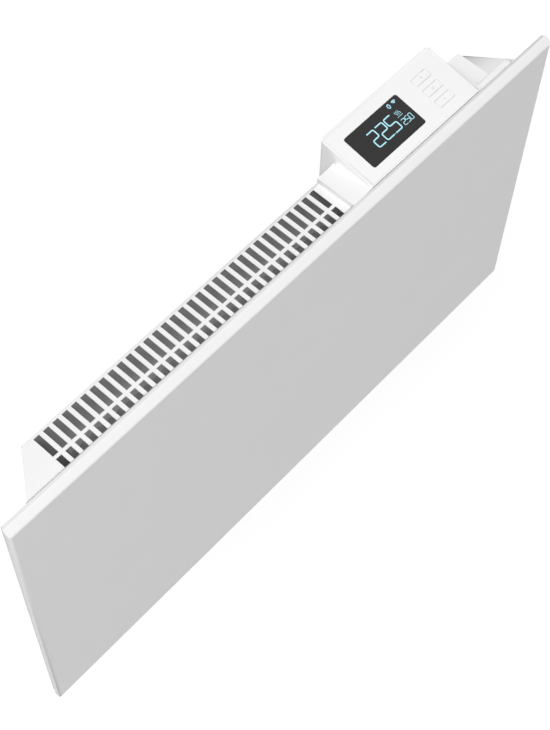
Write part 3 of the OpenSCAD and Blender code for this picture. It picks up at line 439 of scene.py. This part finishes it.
# How near two corners count as one, and the angles between faces that count as flat, as a smooth
# bend and as an edge to break
WELD = 0.002 * MM
FLAT_WITHIN = math.radians(0.4)
SMOOTH_BELOW = math.radians(32)
BREAK_ABOVE = math.radians(38)
# Nodes with holes through their faces, which can't be one polygon each
PIERCED = {"front_panel", "rear_casing", "control_housing", "fascia", "housing_cover",
           "wall_bracket", "inner_plate", "cable_gland", "gland_nut", "wire_grommets",
           "terminal_block", "thermal_cutout", "element_caps"}


def set_out(name, data):
    """An object in the scene, at the origin."""
    thing = bpy.data.objects.new(name, data)
    bpy.context.scene.collection.objects.link(thing)
    return thing


def settle(piece):
    """Works the piece's modifiers into its mesh and removes them."""
    bpy.context.view_layer.update()
    graph = bpy.context.evaluated_depsgraph_get()
    mesh = bpy.data.meshes.new_from_object(piece.evaluated_get(graph))
    old = piece.data
    piece.modifiers.clear()
    piece.data = mesh
    bpy.data.meshes.remove(old)


def coat_with(piece, finish):
    """One finish all over the piece."""
    mesh = piece.data
    mesh.materials.clear()
    mesh.materials.append(finish)
    mesh.polygons.foreach_set("material_index", [0] * len(mesh.polygons))


def take_place(piece, node):
    """The piece stands for a CAD node, on its body and in its finish."""
    coat_with(piece, FINISH[SLOT_OF[node]])
    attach(piece, BODY_OF[node])
    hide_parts(node)


def welded(node):
    """A copy of a CAD node's loose triangles, as closed shells."""
    work = bmesh.new()
    work.from_mesh(NODES[node].data)
    bmesh.ops.remove_doubles(work, verts=work.verts, dist=WELD)
    return work


def joined(node, where):
    """A CAD node's shells, with whole flat faces if they aren't pierced.

    where picks the edges to break.
    """
    work = welded(node)
    if node not in PIERCED:
        bmesh.ops.dissolve_limit(work, angle_limit=FLAT_WITHIN, verts=work.verts,
                                 edges=work.edges)
    if where:
        weight = work.edges.layers.float.new("bevel_weight_edge")
        for edge in work.edges:
            turned = len(edge.link_faces) == 2 and edge.calc_face_angle(0) > BREAK_ABOVE
            middle = (edge.verts[0].co + edge.verts[1].co) / 2 / MM
            edge[weight] = 1.0 if turned and edge.is_convex and where(middle) else 0.0
    mesh = bpy.data.meshes.new(node + "_dressed")
    work.to_mesh(mesh)
    work.free()
    return mesh


def smooth_bends(piece):
    """Smooth bends beside flats that stay flat."""
    mesh = piece.data
    mesh.polygons.foreach_set("use_smooth", [True] * len(mesh.polygons))
    mesh.set_sharp_from_angle(angle=SMOOTH_BELOW)
    weigh = piece.modifiers.new("flats", "WEIGHTED_NORMAL")
    weigh.mode = "FACE_AREA"
    weigh.weight = 100
    weigh.keep_sharp = True
    settle(piece)


def dress(node, edge=0.0, steps=2, where=None):
    """Stands for a CAD node with the same shape, its edges broken by so many millimetres."""
    piece = set_out(node + "_dressed", joined(node, where))
    if edge:
        soften = piece.modifiers.new("edges", "BEVEL")
        soften.width = edge * MM
        soften.segments = steps
        soften.limit_method = "WEIGHT" if where else "ANGLE"
        soften.angle_limit = BREAK_ABOVE
        soften.use_clamp_overlap = False
        soften.miter_outer = "MITER_ARC"
        settle(piece)
    smooth_bends(piece)
    take_place(piece, node)


# The control unit's walls in millimetres, and how near to them an edge counts as theirs
UNIT_LOW, UNIT_HIGH = (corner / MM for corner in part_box("control_housing"))
UNIT_MIDDLE = 170
UNIT_HALF = 72
NEAR = 0.3


def on_unit_walls(p):
    """Edges of the control housing's outer walls and top, without the sweeps beside it."""
    aside = abs(p.x - UNIT_MIDDLE)
    outside = (p.y > UNIT_HIGH.y - NEAR or aside > UNIT_HALF - NEAR
               or abs(p.y - UNIT_LOW.y) < NEAR)
    return aside < UNIT_HALF + NEAR and outside


# Each CAD node gets its finish; those that aren't dressed or shaped below keep their own mesh
for node, shown in NODES.items():
    for place in shown.material_slots:
        place.material = FINISH[SLOT_OF[node]]

dress("front_panel")
dress("rear_casing")
dress("control_housing", edge=0.5, steps=3, where=on_unit_walls)
dress("fascia")
dress("display_window", edge=0.12, steps=1)
for node in BUTTON_MIDDLE:
    dress(node, edge=0.25)
dress("housing_cover")
dress("wall_bracket")
dress("inner_plate")
# How wide the edges of other nodes are broken, in millimetres
EDGES = {"cable_gland": 0.3, "gland_nut": 0.3, "wire_grommets": 0.3, "terminal_block": 0.3,
         "thermal_cutout": 0.3, "relay": 0.6, "transformer": 0.5, "lead_connector": 0.3,
         "room_sensor": 0.3, "element_caps": 0.4, "bracket_pads": 0.2, "tact_switches": 0.15}
for node, edge in EDGES.items():
    dress(node, edge)


# Marks on the operating face

class Shape(Maker):
    """A geometry tree with named inputs, ended by Realize Instances and Set Material."""

    KINDS = {float: "NodeSocketFloat", int: "NodeSocketInt", Vector: "NodeSocketVector"}

    def __init__(self, name, inputs):
        super().__init__(bpy.data.node_groups.new(name, "GeometryNodeTree"))
        face = self.tree.interface
        face.new_socket("Geometry", in_out="INPUT", socket_type="NodeSocketGeometry")
        for label, kind in inputs.items():
            face.new_socket(label, in_out="INPUT", socket_type=self.KINDS[kind])
        face.new_socket("Finish", in_out="INPUT", socket_type="NodeSocketMaterial")
        face.new_socket("Geometry", in_out="OUTPUT", socket_type="NodeSocketGeometry")
        given = self.node("NodeGroupInput").socket.node
        self.given = {socket.name: Value(self, socket) for socket in given.outputs if socket.name}

    def __getitem__(self, label):
        return self.given[label]

    def close(self, geometry):
        """Ends the tree with its geometry, in its finish."""
        real = self.node("GeometryNodeRealizeInstances", None, {0: geometry})
        painted = self.node("GeometryNodeSetMaterial", None,
                            {"Geometry": real, "Material": self["Finish"]})
        self.node("NodeGroupOutput", None, {0: painted})
        return self.tree

    def moved(self, geometry, place=(0, 0, 0), turn=(0, 0, 0)):
        return self.node("GeometryNodeTransform", None,
                         {"Geometry": geometry, "Translation": place, "Rotation": turn})

    def vector(self, x, y, z):
        return self.node("ShaderNodeCombineXYZ", None, {0: x, 1: y, 2: z})

    def line(self, start, end, count):
        """A straight path with so many points."""
        path = self.node("GeometryNodeCurvePrimitiveLine", None, {"Start": start, "End": end})
        return self.node("GeometryNodeResampleCurve", None, {"Curve": path, "Count": count})

    def bent_path(self, corner, steps):
        """The path that the given edges make, its corners rounded."""
        path = self.node("GeometryNodeMeshToCurve", None, {0: self["Geometry"]})
        return self.node("GeometryNodeFilletCurve", {"mode": "POLY"},
                         {0: path, "Count": steps, "Radius": corner, "Limit Radius": True})

    def bar(self, path, width, height):
        """A flat bar along a path, its width level."""
        path = self.node("GeometryNodeSetCurveNormal", {"mode": "Z_UP"}, {0: path})
        outline = self.node("GeometryNodeCurvePrimitiveQuadrilateral", None,
                            {"Width": width, "Height": height})
        return self.swept(path, outline)

    def circle(self, sides, radius):
        return self.node("GeometryNodeCurvePrimitiveCircle", None,
                         {"Resolution": sides, "Radius": radius})

    def swept(self, path, outline, scaled=False):
        """A solid along a path; scaled takes its width from the path's own radius."""
        sockets = {"Curve": path, "Profile Curve": outline, "Fill Caps": True}
        if scaled:
            sockets["Scale"] = self.node("GeometryNodeInputRadius")
        return self.node("GeometryNodeCurveToMesh", None, sockets)

    def copies(self, shape, more=None):
        """The shape on each given point."""
        return self.node("GeometryNodeInstanceOnPoints", None,
                         {"Points": self["Geometry"], "Instance": shape, **(more or {})})

    def together(self, *shapes):
        return self.node("GeometryNodeJoinGeometry", None, {0: list(shapes)})


def stroke_tree():
    """Turns a path of edges into a flat bar that follows it, laid on a tilted plane."""
    stroke = Shape("stroke", {"Width": float, "Height": float, "Corner": float, "Place": Vector,
                              "Turn": Vector})
    path = stroke.bent_path(stroke["Corner"], steps=4)
    solid = stroke.bar(path, stroke["Width"], stroke["Height"])
    return stroke.close(stroke.moved(solid, stroke["Place"], stroke["Turn"]))


STROKE = stroke_tree()


def shaped(tree, name, mesh, values, finish):
    """Runs a tree on a mesh of points or edges and keeps the result as a plain piece."""
    piece = set_out(name, mesh)
    run = piece.modifiers.new("shape", "NODES")
    run.node_group = tree
    identifiers = {item.name: item.identifier for item in tree.interface.items_tree
                   if item.in_out == "INPUT"}
    run[identifiers["Finish"]] = finish
    for label, value in values.items():
        run[identifiers[label]] = value
    settle(piece)
    return piece


def path_mesh(name, paths):
    """Paths of points in millimetres; a path whose last point is its first is closed."""
    verts, edges = [], []
    for path in paths:
        closed = path[0] == path[-1]
        points = path[:-1] if closed else path
        first = len(verts)
        verts += [Vector((*p, 0) if len(p) == 2 else p) * MM for p in points]
        edges += [(first + i, first + i + 1) for i in range(len(points) - 1)]
        if closed:
            edges.append((len(verts) - 1, first))
    mesh = bpy.data.meshes.new(name)
    mesh.from_pydata(verts, edges, [])
    return mesh


def strokes(name, paths, width, corner, height, lift, body, finish):
    """Flat bars along paths on the operating face, lifted off it; sizes in millimetres."""
    values = {"Width": width * MM, "Height": height * MM, "Corner": corner * MM,
              "Place": FACE_ORIGIN + FACE_UP * (lift * MM), "Turn": Vector(FACE_TURN)}
    piece = shaped(STROKE, name, path_mesh(name, paths), values, finish)
    coat_with(piece, finish)
    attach(piece, body)


# Turns of each figure's path, from 0 to 1 across it and from its rear to its front
FIGURES = {"2": [(0, 0), (1, 0), (1, 0.5), (0, 0.5), (0, 1), (1, 1)],
           "5": [(1, 0), (0, 0), (0, 0.5), (1, 0.5), (1, 1), (0, 1)],
           "0": [(0, 0), (1, 0), (1, 1), (0, 1), (0, 0)]}


def in_window(u, v):
    """Place on the face of a share of the window, u from its left and v from its rear."""
    return (WINDOW_LOW[0] + u * WINDOW_SIZE[0], WINDOW_LOW[1] + (1 - v) * WINDOW_SIZE[1])


def figure(kind, left, right, rear, front):
    """Path of a figure in a box of window shares."""
    return [in_window(left + (right - left) * u, rear + (front - rear) * v)
            for u, v in FIGURES[kind]]


def arc(centre, radius, start, stop, steps=8, squash=1.0):
    """Points on an arc, in window shares of its centre and millimetres of its radius."""
    x, y = in_window(*centre)
    angles = [math.radians(start + (stop - start) * i / steps) for i in range(steps + 1)]
    return [(x + radius * math.cos(a), y + radius * squash * math.sin(a)) for a in angles]


def wave(u, rear, front):
    """A rising wave of warm air."""
    steps = 8
    swing = 0.012
    return [in_window(u + swing * math.sin(math.tau * i / steps),
                      front + (rear - front) * i / steps) for i in range(steps + 1)]


# Rear and front of the two rows of figures, and all that is lit, in window shares
LARGE_ROW = (0.287, 0.717)
SMALL_ROW = (0.563, 0.73)
LARGE = [figure("2", 0.272, 0.39, *LARGE_ROW), figure("2", 0.43, 0.553, *LARGE_ROW),
         figure("5", 0.588, 0.708, *LARGE_ROW)]
POINT = [[in_window(0.565, 0.717), in_window(0.576, 0.717)]]
SMALL = [figure("2", 0.762, 0.812, *SMALL_ROW), figure("5", 0.826, 0.872, *SMALL_ROW),
         figure("0", 0.887, 0.933, *SMALL_ROW)]
WARMTH = [wave(u, 0.32, 0.435) for u in (0.785, 0.812, 0.839)]
WARMTH += [[in_window(0.765, 0.47), in_window(0.86, 0.47)]]
LINK = [arc((0.797, 0.125), radius=1.3, start=90, stop=450, steps=14, squash=1.55)]
SIGNAL = [arc((0.895, 0.165), radius, start=48, stop=132) for radius in (1.1, 2.2, 3.3)]

# Each lit piece: its paths, the width of its strokes and the radius of their corners
LIT = {"display_large_figures": (LARGE, 1.2, 1.5), "display_point": (POINT, 0.9, 0.0),
       "display_small_figures": (SMALL, 0.6, 0.7), "display_warmth_sign": (WARMTH, 0.42, 0.0),
       "display_link_sign": (LINK, 0.85, 0.0), "display_signal_sign": (SIGNAL, 0.85, 0.0)}
for name, (paths, width, corner) in LIT.items():
    strokes(name, paths, width, corner, height=0.1, lift=0.06, body="heater", finish=GLOW)

# Printed marks, from the middle of their button; each moves with its button
MARKS = {"button_plus": [[(-1, 0), (1, 0)], [(0, -1), (0, -0.18)], [(0, 0.18), (0, 1)]],
         "button_menu": [[(-0.9, -0.9), (0.9, -0.9), (0.9, 0.9), (-0.9, 0.9), (-0.9, -0.9)]],
         "button_minus": [[(-1.4, 0), (1.4, 0)]]}
for node, paths in MARKS.items():
    across, deep = BUTTON_MIDDLE[node]
    placed = [[(across + x, deep + y) for x, y in path] for path in paths]
    strokes(node + "_mark", placed, width=0.35, corner=0.0, height=0.04, lift=0.21,
            body=BODY_OF[node], finish=INK)


# Screws, leads, fins and turned pieces

def loose_bodies(node):
    """Corner points of each solid of a CAD node."""
    work = welded(node)
    left = {v.index: v for v in work.verts}
    bodies = []
    while left:
        found = [left.pop(min(left))]
        for v in found:
            for edge in v.link_edges:
                other = edge.other_vert(v)
                if other.index in left:
                    found.append(left.pop(other.index))
        bodies.append([v.co.copy() for v in found])
    work.free()
    return bodies


def extent(points):
    """Lowest and highest corner of some points."""
    return [Vector([end(p[i] for p in points) for i in range(3)]) for end in (min, max)]


def screw_seats(node, turn):
    """Where each screw's head sits, its aim from tip to seat, and the head's radius and height.

    turn is the rotation that the screws were made with; before it they lie along Y, either way.
    """
    near_rim = 0.98
    seats, aims = [], []
    for points in loose_bodies(node):
        own = [turn.inverted() @ p for p in points]
        low, high = extent(own)
        middle = (low + high) / 2
        head = (high.x - low.x) / 2
        rim = [p.y for p in own if abs(p.x - middle.x) > near_rim * head]
        headed_low = min(rim) - low.y < high.y - max(rim)
        seat, tip = (max(rim), high.y) if headed_low else (min(rim), low.y)
        seats.append(turn @ Vector((middle.x, seat, middle.z)))
        aims.append(turn @ Vector((0, seat - tip, 0)))
    return seats, aims, head, max(rim) - min(rim)


def points_mesh(name, points, aims=None):
    """Loose points, with an aim each where asked."""
    mesh = bpy.data.meshes.new(name)
    mesh.from_pydata(points, [], [])
    if aims:
        kept = mesh.attributes.new("aim", "FLOAT_VECTOR", "POINT")
        kept.data.foreach_set("vector", [part for aim in aims for part in aim])
    return mesh


def screw_tree():
    """A pan head screw with a cross recess on each point, along the point's aim."""
    screw = Shape("pan_screw", {"Shank": float, "Head": float, "Rise": float, "Recess": float,
                                "Sides": int, "Seed": int})
    dome_from, dome_in = 0.35, 0.4
    arm_long, arm_wide, arm_height = 2.0, 0.46, 0.95
    taper = 0.72
    most_spin = 1.57

    axis = screw.line((0, 0, 0), screw.vector(0.0, 0.0, screw["Rise"]), count=9)
    drawn_in = screw.node("ShaderNodeMapRange", None,
                          {"Value": screw.node("GeometryNodeSplineParameter"),
                           "From Min": dome_from, "From Max": 1.0, "To Min": 0.0, "To Max": 1.0})
    axis = screw.node("GeometryNodeSetCurveRadius", None,
                      {"Curve": axis, "Radius": 1 - drawn_in * drawn_in * dome_in})
    head = screw.swept(axis, screw.circle(screw["Sides"], screw["Head"]), scaled=True)
    arms = []
    for x, y in ((arm_long, arm_wide), (arm_wide, arm_long)):
        size = screw.vector(screw["Recess"] * x, screw["Recess"] * y, screw["Rise"])
        arm = screw.node("GeometryNodeMeshCube", None, {"Size": size})
        arms.append(screw.moved(arm, screw.vector(0.0, 0.0, screw["Rise"] * arm_height)))
    head = screw.node("GeometryNodeMeshBoolean", {"operation": "DIFFERENCE", "solver": "EXACT"},
                      {"Mesh 1": head, "Mesh 2": arms})
    shank = screw.node("GeometryNodeMeshCone", None,
                       {"Vertices": screw["Sides"], "Radius Top": screw["Shank"],
                        "Radius Bottom": screw["Shank"] * taper, "Depth": 1.0})
    shank = screw.moved(shank, (0, 0, -1))

    aim = screw.node("GeometryNodeInputNamedAttribute", {"data_type": "FLOAT_VECTOR"},
                     {"Name": "aim"})
    upright = screw.node("FunctionNodeAlignRotationToVector", {"axis": "Z"}, {"Vector": aim})
    spin = screw.node("FunctionNodeRandomValue", {"data_type": "FLOAT"},
                      {RANDOM_LOW: 0.0, RANDOM_HIGH: most_spin, RANDOM_SEED: screw["Seed"]},
                      RANDOM_RESULT)
    spin = screw.node("FunctionNodeAxisAngleToRotation", None, {"Axis": (0, 0, 1), "Angle": spin})
    turned = screw.node("FunctionNodeRotateRotation", {"rotation_space": "LOCAL"},
                        {"Rotation": upright, "Rotate By": spin})
    length = screw.node("ShaderNodeVectorMath", {"operation": "LENGTH"}, {0: aim}, "Value")
    heads = screw.copies(head, {"Rotation": turned})
    shanks = screw.copies(shank, {"Rotation": turned, "Scale": screw.vector(1.0, 1.0, length)})
    return screw.close(screw.together(shanks, heads))


def cable_tree():
    """A round cable along the edges of a mesh, its corners bent to a radius."""
    cable = Shape("round_cable", {"Radius": float, "Bend": float, "Sides": int})
    path = cable.bent_path(cable["Bend"], steps=8)
    return cable.close(cable.swept(path, cable.circle(cable["Sides"], cable["Radius"])))


def fin_tree():
    """A finely waved fin on each point, and the web and sheathed tube through their middle."""
    fins = Shape("finned_tube", {"Length": float, "Depth": float, "Sheet": float, "Wave": float,
                                 "Waves": float, "Height": float, "Web": float, "Tube": float,
                                 "Overhang": float, "Middle": Vector})
    end = fins["Length"] * 0.5
    line = fins.line(fins.vector(0.0 - end, 0.0, 0.0), fins.vector(end, 0.0, 0.0), count=241)
    phase = fins.node("GeometryNodeSplineParameter") * fins["Waves"] * math.tau
    swing = fins.node("ShaderNodeMath", {"operation": "SINE"}, {0: phase})
    line = fins.node("GeometryNodeSetPosition", None,
                     {"Geometry": line, "Offset": fins.vector(0.0, 0.0, swing * fins["Wave"])})
    fin = fins.bar(line, fins["Depth"], fins["Sheet"])
    web = fins.node("GeometryNodeMeshCube", None,
                    {"Size": fins.vector(fins["Length"], fins["Web"], fins["Height"])})
    tube = fins.node("GeometryNodeMeshCylinder", None,
                     {"Vertices": 32, "Radius": fins["Tube"],
                      "Depth": fins["Length"] + fins["Overhang"] * 2})
    tube = fins.moved(tube, turn=(0, math.pi / 2, 0))
    core = fins.moved(fins.together(web, tube), fins["Middle"])
    return fins.close(fins.together(fins.copies(fin), core))


def turned_tree():
    """A turned solid: each point of the path holds its radius as x and its height as z."""
    lathe = Shape("turned_solid", {"Place": Vector, "Turn": Vector, "Sides": int})
    path = lathe.node("GeometryNodeMeshToCurve", None, {0: lathe["Geometry"]})
    point = lathe.node("GeometryNodeInputPosition")
    path = lathe.node("GeometryNodeSetCurveRadius", None,
                      {"Curve": path, "Radius": lathe.coordinate(point, "X")})
    path = lathe.node("GeometryNodeSetPosition", None,
                      {"Geometry": path, "Position": lathe.stretched(point, (0, 0, 1))})
    solid = lathe.swept(path, lathe.circle(lathe["Sides"], 1.0), scaled=True)
    return lathe.close(lathe.moved(solid, lathe["Place"], lathe["Turn"]))


PAN_SCREW = screw_tree()
CABLE = cable_tree()
FINNED = fin_tree()
TURNED = turned_tree()


def shape_node(tree, node, mesh, values):
    """A tree's piece that stands for a CAD node."""
    take_place(shaped(tree, node + "_dressed", mesh, values, FINISH[SLOT_OF[node]]), node)


STRAIGHT = Matrix.Identity(3)
ON_FACE = FACE_TURN.to_matrix() @ Euler((math.pi / 2, 0, 0)).to_matrix()
SCREW_TURNS = {"panel_screws": STRAIGHT, "casing_screws": STRAIGHT, "element_screws": STRAIGHT,
               "power_board_screws": STRAIGHT, "cover_screws": STRAIGHT,
               "unit_screws": STRAIGHT, "earth_screw": STRAIGHT, "control_board_screws": ON_FACE}
SMALL_HEAD = 2.5 * MM
SMALL_SHANK = 1.0 * MM
LARGE_SHANK = 1.5 * MM
for seed, (node, turn) in enumerate(SCREW_TURNS.items()):
    seats, aims, head, rise = screw_seats(node, turn)
    shape_node(PAN_SCREW, node, points_mesh(node, seats, aims),
               {"Shank": SMALL_SHANK if head < SMALL_HEAD else LARGE_SHANK,
                "Head": head * 0.995, "Rise": rise, "Recess": head * 0.46, "Sides": 24,
                "Seed": seed})

# Routes of the leads' middles inside the casing, in millimetres
LEADS = {
    "mains_lead": [(253.5, -39.4, -108), (253.5, -39.4, 113), (204, -43.4, 113),
                   (204, -43.4, 135), (204, -27.1, 135)],
    "element_lead": [(156, -54.7, -121), (200, -54.7, -121), (200, -54.7, 91),
                     (200, -43.4, 91), (136, -43.4, 91), (136, -43.4, 135), (136, -27.1, 135)],
}
for node, route in LEADS.items():
    shape_node(CABLE, node, path_mesh(node, [route]),
               {"Radius": 2.35 * MM, "Bend": 5 * MM, "Sides": 20})


def finned_element():
    """The heating element: fins on a web, with the sheathed tube out at both ends."""
    low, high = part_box("heating_element")
    middle = (low + high) / 2
    fins = 8
    sheet = 0.6 * MM
    overhang = 16 * MM
    gap = (high.z - low.z - 2 * sheet) / (fins - 1)
    points = [(middle.x, middle.y, low.z + sheet + i * gap) for i in range(fins)]
    shape_node(FINNED, "heating_element", points_mesh("heating_element", points),
               {"Length": high.x - low.x - 2 * overhang, "Depth": high.y - low.y, "Sheet": sheet,
                "Wave": 0.29 * MM, "Waves": 60.0, "Height": (fins - 1) * gap, "Web": 1.6 * MM,
                "Tube": 4.95 * MM, "Overhang": overhang, "Middle": middle})


def round_capacitor():
    """A can with a crimped groove near its base and a rounded top."""
    low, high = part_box("capacitor")
    can = (high.x - low.x) / 2 / MM
    rise = (high.y - low.y) / MM
    profile = [(can - 0.5, 0, 0), (can - 0.05, 0, 0.4), (can, 0, 1.2), (can, 0, 1.5),
               (can - 0.6, 0, 1.9), (can - 0.6, 0, 2.3), (can, 0, 2.8), (can, 0, rise - 0.7),
               (can - 0.3, 0, rise - 0.2), (can - 0.9, 0, rise - 0.05), (0.4, 0, rise)]
    shape_node(TURNED, "capacitor", path_mesh("capacitor", [profile]),
               {"Place": Vector(((low.x + high.x) / 2, low.y, (low.z + high.z) / 2)),
                "Turn": Vector((-math.pi / 2, 0, 0)), "Sides": 40})


finned_element()
round_capacitor()


# Floor, light and camera

def seen_plainly(maker):
    """1 for what the camera, gloss and glass see, 0 for what lights the object."""
    camera, gloss, glass = (maker.node("ShaderNodeLightPath", output=f"Is {ray} Ray")
                            for ray in ("Camera", "Glossy", "Transmission"))
    either = maker.node("ShaderNodeMath", {"operation": "MAXIMUM"}, {0: camera, 1: gloss})
    return maker.node("ShaderNodeMath", {"operation": "MAXIMUM"}, {0: either, 1: glass})


def pale_floor(name):
    """Shown nearly white with the object's shadow on it; a plain grey to the light."""
    ground = Finish(name)
    tone = ground.mix(ground.noise(1.5), (0.55, 0.55, 0.55), (0.57, 0.57, 0.57))
    plain = ground.node("ShaderNodeBsdfDiffuse", None, {"Color": tone})
    shadowed = ground.node("ShaderNodeBsdfDiffuse", None, {"Color": (0.2, 0.2, 0.2, 1)})
    white = ground.node("ShaderNodeEmission", None, {"Color": WHITE, "Strength": 0.86})
    shown = ground.node("ShaderNodeAddShader", None, {0: shadowed, 1: white})
    either = ground.node("ShaderNodeMixShader", None,
                         {0: seen_plainly(ground), 1: plain, 2: shown})
    ground.node("ShaderNodeOutputMaterial", None, {"Surface": either})
    return ground.material


def lay_floor(half, height):
    """A square floor under the object."""
    mesh = bpy.data.meshes.new("floor")
    corners = [(x * half, y * half, height) for x, y in ((-1, -1), (1, -1), (1, 1), (-1, 1))]
    mesh.from_pydata(corners, [], [(0, 1, 2, 3)])
    mesh.materials.append(pale_floor("pale_floor"))
    set_out("floor", mesh)


def studio_world(strength):
    """A soft even light of so much strength, and white where it is seen."""
    world = bpy.data.worlds.new("studio")
    bpy.context.scene.world = world
    world.use_nodes = True
    sky = Maker(world.node_tree)
    sky.tree.nodes.clear()
    light = sky.node("ShaderNodeBackground", None, {"Color": WHITE, "Strength": strength})
    backdrop = sky.node("ShaderNodeBackground", None, {"Color": WHITE, "Strength": 1.0})
    either = sky.node("ShaderNodeMixShader", None, {0: seen_plainly(sky), 1: light, 2: backdrop})
    sky.node("ShaderNodeOutputWorld", None, {"Surface": either})


def soft_box(name, place, aim, size, power):
    """A square lamp at a place, turned to its aim."""
    lamp = bpy.data.lights.new(name, "AREA")
    lamp.shape = "SQUARE"
    lamp.size = size
    lamp.energy = power
    holder = set_out(name, lamp)
    holder.location = place
    holder.rotation_euler = (Vector(aim) - Vector(place)).to_track_quat("-Z", "Y").to_euler()


def photo_camera(place, right, down, ahead, lens):
    """The camera at the photograph's viewing angle."""
    data = bpy.data.cameras.new("camera")
    data.lens = lens
    data.sensor_width = 36
    camera = set_out("camera", data)
    turn = Matrix((Vector(right), -Vector(down), -Vector(ahead))).transposed()
    camera.matrix_world = Matrix.Translation(place) @ turn.to_4x4()
    bpy.context.scene.camera = camera


lay_floor(half=6, height=-0.6)
studio_world(strength=0.34)
soft_box("key_light", place=(-2.25, -1.5, 4.75), aim=(0, -0.05, 0), size=2.6, power=229)
photo_camera(place=(-0.55856, -0.53743, 1.27052), right=(0.674345, -0.738252, 0.01558),
             down=(-0.634531, -0.590136, -0.499109), ahead=(0.377663, 0.326686, -0.866399),
             lens=78.089)
bpy.context.scene.view_settings.view_transform = "Standard"
